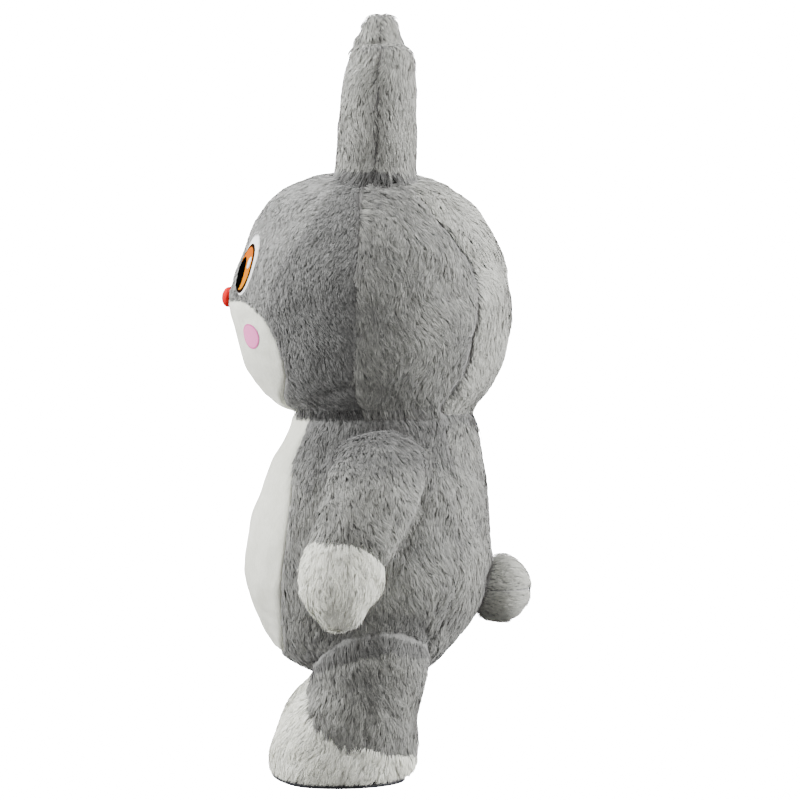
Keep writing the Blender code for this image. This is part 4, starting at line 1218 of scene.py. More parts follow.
@dataclass
class Panel:
    """A panel of fabric: its cloth shell, and the pile that stands on it.

    Attributes:
        node: The solid that it stands for.
        form: The form that it lies on.
        cuts: The stretches that it covers.
        backing: The cloth's finish.
        slot: The record's slot for it; not used.
        sewn_to: The pieces that it is sewn to; not used.
        pile: How its pile grows, where it has any.
        inset: How far under the solid's surface the cloth lies.
        step: About how far apart its points are.
        hides: Forms that cover part of it, where it has no pile.
        lies_over: Forms that its pile lies over where it meets them.
        above_sole: Whether its pile ends above the sole's lower edge.
        flat: The width and length that it is cut from, found when it is built.
        area: The area of the cut piece.
    """

    node: str
    form: Form
    cuts: Sequence[Cut]
    backing: Finish
    slot: Slot
    sewn_to: Sequence[str]
    pile: Optional[Pile] = None
    inset: float = FUR_INSET
    step: float = CLOTH_STEP
    hides: tuple[Form, ...] = ()
    lies_over: tuple[Form, ...] = ()
    above_sole: bool = False
    flat: tuple[float, float] = (0.0, 0.0)
    area: float = 0.0

    def layout(self, cut: Cut, rows: int, columns: int) -> tuple[Array, Array]:
        """Ring numbers and angles of a cut's rows and columns."""
        share = np.linspace(0, 1, columns)[None, :]
        rise = np.linspace(0, 1, rows)[:, None]
        station = cut.low(share) + (cut.high(share) - cut.low(share)) * rise
        angle = cut.left(station) + (cut.right(station) - cut.left(station)) * share
        return station, self.form.settle(angle, station)

    def grid(self, cut: Cut) -> Grid:
        """The cut's points on the cloth, with its seams, creases and lumps in them."""
        coarse = self.form.point(*self.layout(cut, COARSE_ROWS, COARSE_ROWS))
        steps = [longest_row(points) / self.step for points in (coarse.swapaxes(0, 1), coarse)]
        station, angle = self.layout(cut, *(max(int(round(count)), 2) + 1 for count in steps))
        points = self.form.point(station, angle)
        normals = self.form.normal(station, angle)
        edges = edge_distances(points)
        depth = np.full(points.shape[:-1], self.inset)
        for edge in cut.seams:
            depth += (SEAM_DEPTH - self.inset) * bell(edges[edge], SEAM_REACH)
        for crease in CREASES:
            if np.array_equal(crease.form.rings, self.form.rings):
                depth += crease.drop(points)
        lumps = LUMPS * waves(points, 0.16, "lumps") + SMALL_LUMPS * waves(points, 0.07, "small_lumps")
        depth -= lumps * fade(np.minimum.reduce(list(edges.values())), 0.0, 0.03)
        if self.form in HEADS:
            for bed in BEDS:
                under = 1 - fade(bed.share(points), 1.0, BED_END)
                depth = depth * (1 - under) + BED_INSET * under
        placed = points - depth[..., None] * self.inward(normals, edges)
        across = np.cross(np.gradient(placed, axis=0), normals)
        across *= np.sign((across * np.gradient(placed, axis=1)).sum(axis=-1, keepdims=True))
        return Grid(placed, shaded_normals(placed, normals), unit(across), edges)

    def inward(self, normals: Array, edges: dict[str, Array]) -> Array:
        """The way that the cloth is set in: level at the neck, so that head and body meet there."""
        if self.form not in NECK_EDGES:
            return normals
        share = bell(edges[NECK_EDGES[self.form]], NECK_REACH)[..., None]
        return unit(normals * (1 - share) + unit(normals * [1, 1, 0]) * share)

    def build(self) -> None:
        grids = [self.grid(cut) for cut in self.cuts]
        cloth = self.cloth(grids)
        pieces = [self.fur(grids)] if self.pile else []
        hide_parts(self.node)
        LOG.info("cut %s: %s, %.4f m2", self.node, self.flat, self.area)

    def cloth(self, grids: Sequence[Grid]) -> bpy.types.Object:
        """The panel's thin shell."""
        points, faces, uv = [], [], []
        start, width, length, area = 0, 0.0, 0.0, 0.0
        for number, grid in enumerate(grids):
            rows, columns = grid.points.shape[:2]
            index = np.arange(rows * columns).reshape(rows, columns) + start
            quads = np.stack([index[:-1, :-1], index[:-1, 1:], index[1:, 1:], index[1:, :-1]], axis=-1)
            covered = self.covered(grid.points, COVERED_MARGIN)
            shown = ~(covered[:-1, :-1] & covered[:-1, 1:] & covered[1:, 1:] & covered[1:, :-1])
            facing = np.cross(*diagonals(grid.points))
            area += np.linalg.norm(facing, axis=-1)[shown].sum() / 2
            outward = (facing * grid.normals[:-1, :-1]).sum()
            faces.append(quads[shown] if outward > 0 else quads[shown][:, ::-1])
            points.append(grid.points.reshape(-1, 3))
            u = (np.linspace(*MAP_ENDS, columns)[None, :] + number) / len(grids)
            v = np.linspace(*MAP_ENDS, rows)[:, None]
            uv.append(np.stack(np.broadcast_arrays(u, v), axis=-1).reshape(-1, 2))
            start += rows * columns
            width = max(width, longest_row(grid.points))
            length += longest_row(grid.points.swapaxes(0, 1))
        obj = mesh_object(f"cloth_{self.node}", *used_only(*map(np.concatenate, (points, faces, uv))))
        apply_modifier(obj, "SOLIDIFY", thickness=CLOTH_THICKNESS, offset=-1.0, use_even_offset=False)
        obj.data.shade_smooth()
        self.flat = tuple(math.ceil(size * FLAT_STEPS) / FLAT_STEPS for size in (width, length))
        self.area = min(area, self.flat[0] * self.flat[1])
        return dress(obj, self.backing)

    def covered(self, points: Array, margin: float) -> Array:
        """Which points lie inside a form that covers this panel."""
        found = np.zeros(points.shape[:-1], bool)
        for form in self.hides:
            found |= form.inside(points, margin)
        return found

    def fur(self, grids: Sequence[Grid]) -> bpy.types.Object:
        """The panel's pile, as one mesh."""
        strands = [self.strands(grid, f"{self.node}{number}") for number, grid in enumerate(grids)]
        points, normals, uv = (np.concatenate(values) for values in zip(*strands))
        first = 4 * np.arange(len(points) // 4)[:, None]
        faces = np.concatenate([first + [0, 2, 1], first + [1, 2, 3]])
        obj = mesh_object(f"fur_{self.node}", points, faces, uv)
        obj.data.normals_split_custom_set_from_vertices(normals)
        return dress(obj, self.pile.finish)

    def roots(self, grid: Grid, rng: np.random.Generator) -> Roots:
        """Where strands grow: not in a parting, nor where the cloth is covered."""
        pile = self.pile
        spots = sown(grid, pile.density, rng)
        height = spots.points[:, 2]
        keep = ~self.covered(spots.points, COVERED_ROOTS)
        parting = pile.parting * (1 - fade(height, pile.parting_top - TOP_FADE, pile.parting_top))
        for edge in pile.parted:
            keep &= spots.edges[edge] > PARTING_GAP * parting
        share = np.ones(len(keep))
        if self.form in HEADS:
            for bed in BEDS:
                out = bed.share(spots.points)
                keep &= out > 1.0
                share *= BED_PILE + (1 - BED_PILE) * fade(out, 1.0, BED_PILE_END)
        edges = {key: value[keep] for key, value in spots.edges.items()}
        normals = unit(spots.normals)[keep]
        return Roots(spots.points[keep], normals, spots.across[keep], edges, share[keep], parting[keep])

    def shares(self, roots: Roots, near_seam: Array) -> Array:
        """How much of the pile's length strands have, shorter at seams and on the ears' ledges."""
        share = roots.share * (1 - SEAM_SHORTER * near_seam)
        if self.form in EARS.values():
            share *= 1 - LEDGE_SHORTER * fade(roots.normals[:, 2], 0.3, 0.9)
        share *= 1 + self.pile.fringe * np.exp(-roots.edges["b"] / HEM_REACH)
        for form in self.hides:
            share *= 1 + self.pile.join_fringe * form.inside(roots.points, -JOIN_FRINGE_REACH)
        return share

    def draped(self, tips: Array, normals: Array) -> Array:
        """The strands' tips, pushed out over what the panel lies over and up off the floor."""
        drape = EAR_DRAPE * normals[:, 0] ** 2 if self.form in EARS.values() else np.full(len(tips), DRAPE)
        for form in self.lies_over * DRAPE_STEPS:
            tips += (drape * form.inside(tips, -COVERED_ROOTS))[:, None] * normals
        if self.above_sole:
            tips[:, 2] = np.maximum(tips[:, 2], PILE_FLOOR + toe_lift(tips[:, 1], np.zeros(len(tips))))
        return tips

    def strands(self, grid: Grid, name: str) -> tuple[Array, Array, Array]:
        """Strands on one grid.

        Args:
            grid: The cloth that they stand on.
            name: What fixes their random draws.

        Returns:
            Four points a strand, their normals and their places on the bake map.
        """
        pile, rng = self.pile, seeded(name)
        roots = self.roots(grid, rng)
        root, normal = roots.points, roots.normals
        lay, near_seam = pile.comb(roots)
        share = self.shares(roots, near_seam)
        count = len(root)
        leaders = rng.permutation(count)[: max(count // pile.clump, 1)]
        clump = nearest(root, root[leaders])
        aside = np.radians(pile.wander) * rng.normal(size=len(leaders))
        clump_tone = rng.normal(size=len(leaders))
        clump_length = rng.uniform(*CLUMP_LENGTHS, size=len(leaders))
        clump_lift = rng.uniform(*CLUMP_LIFTS, size=len(leaders))
        heading = turned(lay, normal, aside[clump] + STRAND_WANDER * rng.normal(size=count))
        length = pile.length * share * clump_length[clump] * rng.uniform(*LENGTHS, size=count)
        lift = pile.lift * clump_lift[clump] * rng.uniform(*LIFTS, size=count)
        lift *= np.minimum(share * 1.2, 1)
        tip = root + heading * length[:, None] + normal * lift[:, None]
        leader = leaders[clump]
        lean = pile.clumping * rng.uniform(*LEANS, size=count)[:, None]
        together = tip[leader] - (length[leader] - length)[:, None] * heading[leader]
        tip = self.draped(tip * (1 - lean) + together * lean, normal)
        points, normals = blades(root, tip, normal, lift, pile.width, rng)
        tone = pile.tones(roots, near_seam)
        # Painted shade where another form covers the panel or the pile lies over it
        for form in self.hides + self.lies_over:
            over = form in self.lies_over
            shade, reach = (pile.hem_shade, HEM_SHADE_REACH) if over else (pile.join_shade, pile.join_reach)
            below = 1 - fade(root[:, 2], pile.shade_top - TOP_FADE, pile.shade_top)
            tone -= shade * form.inside(root, -reach) * below
        tone += CLUMP_TONES * clump_tone[clump] + TONES * rng.normal(size=count)
        shift = TONES * rng.normal(size=count)
        u = np.clip(np.stack([tone, tone - shift, tone + shift, tone], axis=1), *MAP_ENDS)
        v = np.broadcast_to([MAP_ENDS[0], MAP_MIDDLE, MAP_MIDDLE, MAP_ENDS[1]], u.shape)
        uv = np.stack([u, v], axis=-1).reshape(-1, 2)
        return points.reshape(-1, 3), normals.reshape(-1, 3), uv


def blades(
    root: Array, tip: Array, normal: Array, lift: Array, width: float, rng: np.random.Generator
) -> tuple[Array, Array]:
    """Flat tapered strands, widest near their middle.

    Args:
        root: Where they grow from.
        tip: Where they end.
        normal: The way that the cloth faces at their roots.
        lift: How far their tips stand off the cloth.
        width: How wide they are.
        rng: The random source.

    Returns:
        Four points a strand, and their normals.
    """
    count = len(root)
    middle = root + (tip - root) * MIDDLE + normal * (MIDDLE_RISE * lift)[:, None]
    roll = rng.normal(size=count) * ROLL
    flank = unit(np.cross(tip - root, normal))
    flank = flank * np.cos(roll)[:, None] + normal * np.sin(roll)[:, None]
    half = (width / 2 * rng.uniform(*WIDTHS, size=count))[:, None]
    points = np.stack([root - ROOT_DEPTH * normal, middle - flank * half, middle + flank * half, tip], axis=1)
    bend = unit(normal + BEND * flank * rng.normal(size=(count, 1)))
    return points, np.stack([bend, unit(bend - ROUNDING * flank), unit(bend + ROUNDING * flank), bend], axis=1)


def longest_row(points: Array) -> float:
    """The length of a grid's longest row."""
    return float(np.linalg.norm(np.diff(points, axis=1), axis=-1).sum(axis=1).max())


def diagonals(points: Array) -> tuple[Array, Array]:
    """Both diagonals of each cell of a grid."""
    return points[1:, 1:] - points[:-1, :-1], points[1:, :-1] - points[:-1, 1:]


def edge_distances(points: Array) -> dict[str, Array]:
    """How far each point of a grid is from its left, right, bottom and top edges, along the grid."""
    across = np.linalg.norm(np.diff(points, axis=1), axis=-1)
    along = np.linalg.norm(np.diff(points, axis=0), axis=-1)
    left = np.concatenate([np.zeros((len(points), 1)), np.cumsum(across, axis=1)], axis=1)
    bottom = np.concatenate([np.zeros((1, points.shape[1])), np.cumsum(along, axis=0)])
    return {"l": left, "r": left[:, -1:] - left, "b": bottom, "t": bottom[-1:] - bottom}


def shaded_normals(points: Array, forms_own: Array) -> Array:
    """The way that a grid faces, with its creases, and as its form does where it closes up."""
    found = np.cross(np.gradient(points, axis=1), np.gradient(points, axis=0))
    size = np.linalg.norm(found, axis=-1, keepdims=True)
    found = unit(found)
    found *= np.sign((found * forms_own).sum(axis=-1, keepdims=True))
    trust = fade(size / max(np.median(size), 1e-12), 0.15, 0.5)
    return unit(found * trust + forms_own * (1 - trust))


def used_only(points: Array, faces: Array, uv: Array) -> tuple[Array, Array, Array]:
    """The mesh without the points that no face uses."""
    used = np.unique(faces)
    number = np.zeros(len(points), int)
    number[used] = np.arange(len(used))
    return points[used], number[faces], uv[used]


def sown(grid: Grid, density: float, rng: np.random.Generator) -> Grid:
    """Spots spread evenly over a grid, with its values there.

    Args:
        grid: The grid.
        density: How many spots a square metre has.
        rng: The random source.

    Returns:
        The values at the spots, one a row.
    """
    area = np.linalg.norm(np.cross(*diagonals(grid.points)), axis=-1) / 2
    total = np.cumsum(area.ravel())
    count = int(total[-1] * density)
    cell = np.searchsorted(total, (np.arange(count) + rng.uniform(size=count)) / count * total[-1])
    cell = np.minimum(cell, area.size - 1)
    row, column = np.divmod(cell, area.shape[1])
    s, t = rng.uniform(size=count), rng.uniform(size=count)

    def read(values: Array) -> Array:
        """Values between the four corners of each spot's cell."""
        a, b = (s[:, None], t[:, None]) if values.ndim == 3 else (s, t)
        lower = values[row, column] * (1 - a) + values[row, column + 1] * a
        upper = values[row + 1, column] * (1 - a) + values[row + 1, column + 1] * a
        return lower * (1 - b) + upper * b

    edges = {key: read(value) for key, value in grid.edges.items()}
    return Grid(read(grid.points), read(grid.normals), read(grid.across), edges)


def nearest(points: Array, leaders: Array) -> Array:
    """The number of the leader that each point is nearest to."""
    tree = KDTree(len(leaders))
    for number, leader in enumerate(leaders):
        tree.insert(leader, number)
    tree.balance()
    return np.array([tree.find(point)[1] for point in points], int)


# Which way the pile is combed


def combed(x: float, y: float, z: float) -> Reading:
    """Pile combed one way all over, with x outwards from the costume's middle."""

    def lay(points: Array) -> Array:
        """The pile's direction at points."""
        way = np.broadcast_to([x, y, z], points.shape).copy()
        way[:, 0] *= np.sign(points[:, 0])
        return way

    return lay


def face_lay(points: Array) -> Array:
    """Towards the nose on the brow, and down and back below the eyes."""
    back = np.interp(points[:, 2], [1.35, 1.52, 1.68, 1.85, 2.0], [0.55, 0.42, 0.10, -0.35, -0.55])
    return np.stack([0 * back, back, -np.ones(len(points))], axis=1)


def head_lay(points: Array) -> Array:
    """Back from the crown, then down the side and round under the head."""
    back = np.interp(points[:, 2], [1.30, 1.60, 1.85, 2.05], [0.15, 0.28, 0.45, 0.9])
    return np.stack([0 * back, back, -np.ones(len(points))], axis=1)


def foot_lay(points: Array) -> Array:
    """Down and out over the foot, and forward over the toes."""
    side = np.sign(points[:, 0])
    out = 0.5 * (np.abs(points[:, 0]) - LEG_CENTRE) / 0.18 * side
    ahead = np.interp(points[:, 1], [-0.30, -0.05, 0.10], [-0.9, -0.2, 0.5])
    return np.stack([out, ahead, -0.8 * np.ones(len(points))], axis=1)


def tail_lay(points: Array) -> Array:
    """Back and out from the body, and down."""
    out = points[:, 0] * 3.0
    up = (points[:, 2] - TAIL_CENTRE_HEIGHT) * 3.0 - 0.35
    return np.stack([out, 0.8 * np.ones(len(points)), up], axis=1)


# Which stretches the panels cover


def level(value: float) -> Reading:
    """A reading that is the same everywhere."""
    return lambda at: np.full(np.shape(at), float(value))


def along_seam(form: Form, table: Sequence[tuple[float, float]], sign: int = 1) -> Reading:
    """The angle of a seam at ring numbers."""
    return lambda station: sign * seam_at(table, form.column(0, station))


def full_turn_less(form: Form, table: Sequence[tuple[float, float]]) -> Reading:
    """The angle of a seam's mirror image, counted on past the back."""
    return lambda station: 2 * math.pi - seam_at(table, form.column(0, station))


def tape_edge(form: Form, reach: float) -> Reading:
    """The angle of a line that runs up the back at a distance from its middle."""
    return lambda station: math.pi - np.arcsin(reach / np.maximum(form.column(3, station), 2 * reach))


def muzzle_edge(across: Array) -> Array:
    """The ring number of the muzzle's upper edge, at shares across the face."""
    share, heights = zip(*MUZZLE_EDGE)
    return HEAD.station(np.interp(np.abs(2 * across - 1), share, heights))


def foot_edge(form: Form, first: float) -> Reading:
    """The ring number of the seam between leg and foot, at shares across half a turn.

    Args:
        form: The leg.
        first: Where the half turn begins, in degrees round the leg.

    Returns:
        The reading.
    """
    degrees, heights = zip(*FOOT_SEAM)

    def edge(across: Array) -> Array:
        """The seam's ring number at a share across."""
        angle = np.radians(first + 180 * across)
        around = np.degrees(ankle_turn(angle, np.array(LEG_SEAM_TURN_TO)))
        around = np.abs((around + 180) % 360 - 180)
        return form.station(np.interp(around, degrees, heights))

    return edge


def wrist_edge(across: Array) -> Array:
    """The ring number of the seam between arm and paw, which arches over the back of the hand."""
    return WRIST_RING - 0.30 * bell(across - 0.62, 0.2) + 0.1 * bell(across, 0.12)


def inner_wrist_edge(across: Array) -> Array:
    """The same seam on the inside of the arm, where shares run the other way."""
    return wrist_edge(1 - across)


def half_turn(low: Reading, high: Reading, first: float, seams: str) -> Cut:
    """A cut half round a form, from an angle in degrees."""
    return Cut(low, high, level(math.radians(first)), level(math.radians(first + 180)), seams)


# Sub-assemblies

LONG_PILE = Pile(GREY_PILE, 0.040, 0.0090, 0.0039, PILE_DENSITY, head_lay)
# The backing and the record's slot for each kind of fur
FABRICS = {
    GREY_PILE: (GREY_BACKING, Slot.GREY_FUR),
    FACE_PILE: (GREY_BACKING, Slot.FACE_FUR),
    WHITE_PILE: (WHITE_BACKING, Slot.WHITE_FUR),
}


def fur_panel(
    node: str, form: Form, cuts: Sequence[Cut], pile: Pile, sewn_to: Sequence[str], **extras: object
) -> Panel:
    """A panel of fur fabric.

    Args:
        node: The solid that it stands for.
        form: The form that it lies on.
        cuts: The stretches that it covers.
        pile: How its pile grows.
        sewn_to: The pieces that it is sewn to.
        extras: The panel's other values.

    Returns:
        The panel.
    """
    return Panel(node, form, cuts, *FABRICS[pile.finish], sewn_to, pile, **extras)


def plush_panel(node: str, form: Form, cut: Cut, sewn_to: Sequence[str], **extras: object) -> Panel:
    """A panel of short white plush, which has no strands."""
    sizes = {"inset": PLUSH_INSET, "step": PLUSH_STEP}
    return Panel(node, form, (cut,), WHITE_PLUSH, Slot.WHITE_PLUSH, sewn_to, **sizes, **extras)


@dataclass
class Head:
    """The head's fabric panels."""

    face_length: float = 0.024

    def grey(self, parted: str, tone: float, fringe: float) -> Pile:
        """The long grey pile of the head."""
        return replace(
            LONG_PILE, parting=0.6, parted=parted, parting_top=1.92, tone=tone, sway=26, fringe=fringe
        )

    def short(self, tone: float, fringe: float) -> Pile:
        """The shorter grey pile of the face."""
        face = Pile(FACE_PILE, self.face_length, 0.0075, 0.0034, 1.15 * PILE_DENSITY, face_lay, clumping=0.15)
        return replace(face, wander=8, tone=tone, sway=13, fringe=fringe, low_shade=0.1)

    def panels(self) -> list[Panel]:
        """The panels of the head."""
        low, top = level(0), level(HEAD.last)
        face, face_other = along_seam(HEAD, FACE_SEAM), along_seam(HEAD, FACE_SEAM, -1)
        back, back_other = along_seam(HEAD, BACK_HEAD_SEAM), full_turn_less(HEAD, BACK_HEAD_SEAM)
        ears = tuple(EARS.values())
        sides = ("face_side_left", "face_side_right")
        found = [
            plush_panel("muzzle", HEAD, Cut(low, muzzle_edge, face_other, face), ("forehead", *sides)),
            fur_panel(
                "forehead",
                HEAD,
                (Cut(muzzle_edge, top, face_other, face, "lrb"),),
                # tone 1.0: painted light from above on the forehead
                self.short(1.0, -0.4),
                ("muzzle", *sides, "head_back"),
                hides=ears,
            ),
            fur_panel(
                "head_back",
                HEAD,
                (Cut(low, top, back, back_other, "lr"),),
                # tone 0.84: painted rim light on the back of the head
                self.grey("lr", 0.84, -0.5),
                ("head_side_left", "head_side_right", "forehead"),
                hides=ears,
            ),
        ]
        for side, form in zip(Side, HEADS):
            face_side, head_side = f"face_side_{side.word}", f"head_side_{side.word}"
            seams = [along_seam(form, table) for table in (FACE_SEAM, SIDE_SEAM, BACK_HEAD_SEAM)]
            for node, pile, first, sewn_to in (
                # The face sides' low tone of 0.22 is painted shade
                (face_side, self.short(0.22, -0.45), 0, ("muzzle", "forehead", head_side)),
                (head_side, self.grey("r", 0.31, -0.25), 1, (face_side, "head_back")),
            ):
                cuts = (Cut(low, top, seams[first], seams[first + 1], "lr"),)
                found.append(fur_panel(node, form, cuts, pile, sewn_to, hides=ears, lies_over=(TORSO,)))
        return found


@dataclass
class Torso:
    """The body's fabric panels."""

    def piles(self) -> tuple[Pile, Pile]:
        """The grey pile of the side panels, which parts at the back seam, and that of the back, both with
        painted shade.
        """
        # high_shade and neck_shade are painted shadow under the head, join_shade painted shade where limbs and
        # tail meet the body
        common = replace(LONG_PILE, parted="r", join_fringe=-0.35, high_shade=0.5)
        side = replace(common, lay=combed(0.0, 0.16, -1.0), parting=0.14, tone=0.34)
        side = replace(side, join_shade=0.16, shade_top=1.06, neck_shade=0.42)
        return side, replace(common, lay=combed(0.0, 0.1, -1.0), parting=0.55, tone=0.38)

    def panels(self) -> list[Panel]:
        """The panels of the torso."""
        low, top, middle_back = level(0), level(TORSO.last), level(math.pi)
        low_belly = level(BELLY_FIRST_STATION)
        belly_end = level(BELLY_FIRST_STATION - BELLY_ALLOWANCE)
        zip_end = level(float(TORSO.station(ZIP_END_HEIGHT)))
        legs, arms = tuple(LEGS.values()), tuple(ARMS.values())
        belly, belly_other = along_seam(TORSO, BELLY_SEAM), along_seam(TORSO, BELLY_SEAM, -1)
        cut = Cut(belly_end, top, belly_other, belly)
        found = [plush_panel("belly", TORSO, cut, ("body_side_left", "body_side_right"), hides=legs)]
        side_pile, back_pile = self.piles()
        for side, form in zip(Side, TORSOS):
            belly, back = along_seam(form, BELLY_SEAM), along_seam(form, BACK_BODY_SEAM)
            tape = tape_edge(form, ZIP_TAPE_REACH)
            side_cuts = (
                Cut(low_belly, top, belly, back, "lr"),
                Cut(low, low_belly, low, belly, "lt"),
                Cut(low, low_belly, belly, back, "r"),
            )
            back_cuts = (Cut(low, top, back, tape, "l"), Cut(low, zip_end, tape, middle_back, "r"))
            body_side, body_back = f"body_side_{side.word}", f"body_back_{side.word}"
            sewn_to = (body_side, f"zip_tape_{side.word}")
            found += [
                fur_panel(body_side, form, side_cuts, side_pile, ("belly", body_back), hides=legs + arms),
                fur_panel(body_back, form, back_cuts, back_pile, sewn_to, hides=legs + (TAIL,)),
            ]
        return found


@dataclass
class Limbs:
    """The arms with their paws and the legs with their feet."""

    fur_length: float = 0.038
    white_length: float = 0.042

    def grey(self, lay: Reading, tone: float, shade: float, fringe: float = 0.0) -> Pile:
        """The long grey pile of arms and legs, with painted shade at its ends and near the neck."""
        pile = replace(LONG_PILE, length=self.fur_length, lay=lay, tone=tone, fringe=fringe, join_shade=shade)
        return replace(pile, join_reach=0.016, low_shade=0.4 * shade, neck_shade=0.55)

    def white(self, lay: Reading) -> Pile:
        """The long white pile of paws and feet."""
        pile = Pile(WHITE_PILE, self.white_length, 0.0075, 0.0042, PILE_DENSITY, lay)
        return replace(pile, clumping=0.22, wander=12, tone=0.95)

    def arm(self, side: Side) -> list[Panel]:
        """The panels of an arm and its paw."""
        form, found = ARMS[side], []
        end = level(form.last)
        for part, first, wrist in (("outer", 0, wrist_edge), ("inner", 180, inner_wrist_edge)):
            arm, paw = f"arm_{part}_{side.word}", f"paw_{part}_{side.word}"
            sleeve, mitt = half_turn(level(0), wrist, first, "lrt"), half_turn(wrist, end, first, "lrb")
            grey = self.grey(combed(0.12, 0.10, -1.0), 0.5, 0.2)
            white = self.white(combed(0.0, -0.06, -1.0))
            found += [
                fur_panel(arm, form, (sleeve,), grey, (f"body_side_{side.word}", paw), hides=(TORSO,)),
                fur_panel(paw, form, (mitt,), white, (arm,)),
            ]
        return found

    def leg(self, side: Side) -> list[Panel]:
        """The panels of a leg and its foot."""
        form, word, found = LEGS[side], side.word, []
        grey, white = self.grey(combed(0.0, 0.12, -1.0), 0.46, 0.6, 0.4), self.white(foot_lay)
        for part, first in (("front", -90), ("back", 90)):
            cut = half_turn(foot_edge(form, first), level(form.last), first, "lrb")
            sewn_to = (f"body_side_{word}", f"foot_outer_{word}")
            found.append(fur_panel(f"leg_{part}_{word}", form, (cut,), grey, sewn_to, hides=(TORSO,)))
        for part, first in (("outer", 0), ("inner", 180)):
            cut = half_turn(level(0), foot_edge(form, first), first, "lrt")
            sewn_to = (f"sole_{word}", f"leg_front_{word}")
            found.append(fur_panel(f"foot_{part}_{word}", form, (cut,), white, sewn_to, above_sole=True))
        return found

    def panels(self) -> list[Panel]:
        """The panels of both arms and both legs."""
        return [panel for side in Side for panel in self.arm(side) + self.leg(side)]


@dataclass
class EarsAndTail:
    """The ears and the tail."""

    ear_length: float = 0.036
    tail_length: float = 0.027
    density: float = 60000

    def grey(self, length: float, lay: Reading, parting: float, tone: float, join_fringe: float) -> Pile:
        """The grey pile of ears and tail, which parts at both seams, with painted shade where it meets the
        head or the body.
        """
        pile = Pile(GREY_PILE, length, 0.0090, 0.0038, self.density, lay, clumping=0.2, wander=8, sway=12)
        pile = replace(pile, parted="lr", parting=parting, tone=tone, join_fringe=join_fringe)
        return replace(pile, join_shade=0.3, hem_shade=0.45)

    def panels(self) -> list[Panel]:
        """The panels of both ears and the tail."""
        found = []
        ear_pile = self.grey(self.ear_length, combed(0.0, 0.0, -1.0), 0.14, 0.62, 0.9)
        # tone 1.2: painted light on the tail
        tail_pile = self.grey(self.tail_length, tail_lay, 0.22, 1.2, 0.2)
        for side in Side:
            form, sewn_to = EARS[side], (f"head_side_{side.word}", f"face_side_{side.word}")
            for part, first in (("front", -90), ("back", 90)):
                node, cut = f"ear_{part}_{side.word}", half_turn(level(0), level(form.last), first, "lr")
                meets = {"hides": (HEAD,), "lies_over": (HEAD,)}
                found.append(fur_panel(node, form, (cut,), ear_pile, sewn_to, **meets))
        for part, first in (("upper", -90), ("lower", 90)):
            cut = half_turn(level(0), level(TAIL.last), first, "lr")
            sewn_to = ("body_back_left", "body_back_right")
            found.append(fur_panel(f"tail_{part}", TAIL, (cut,), tail_pile, sewn_to, hides=(TORSO,)))
        return found


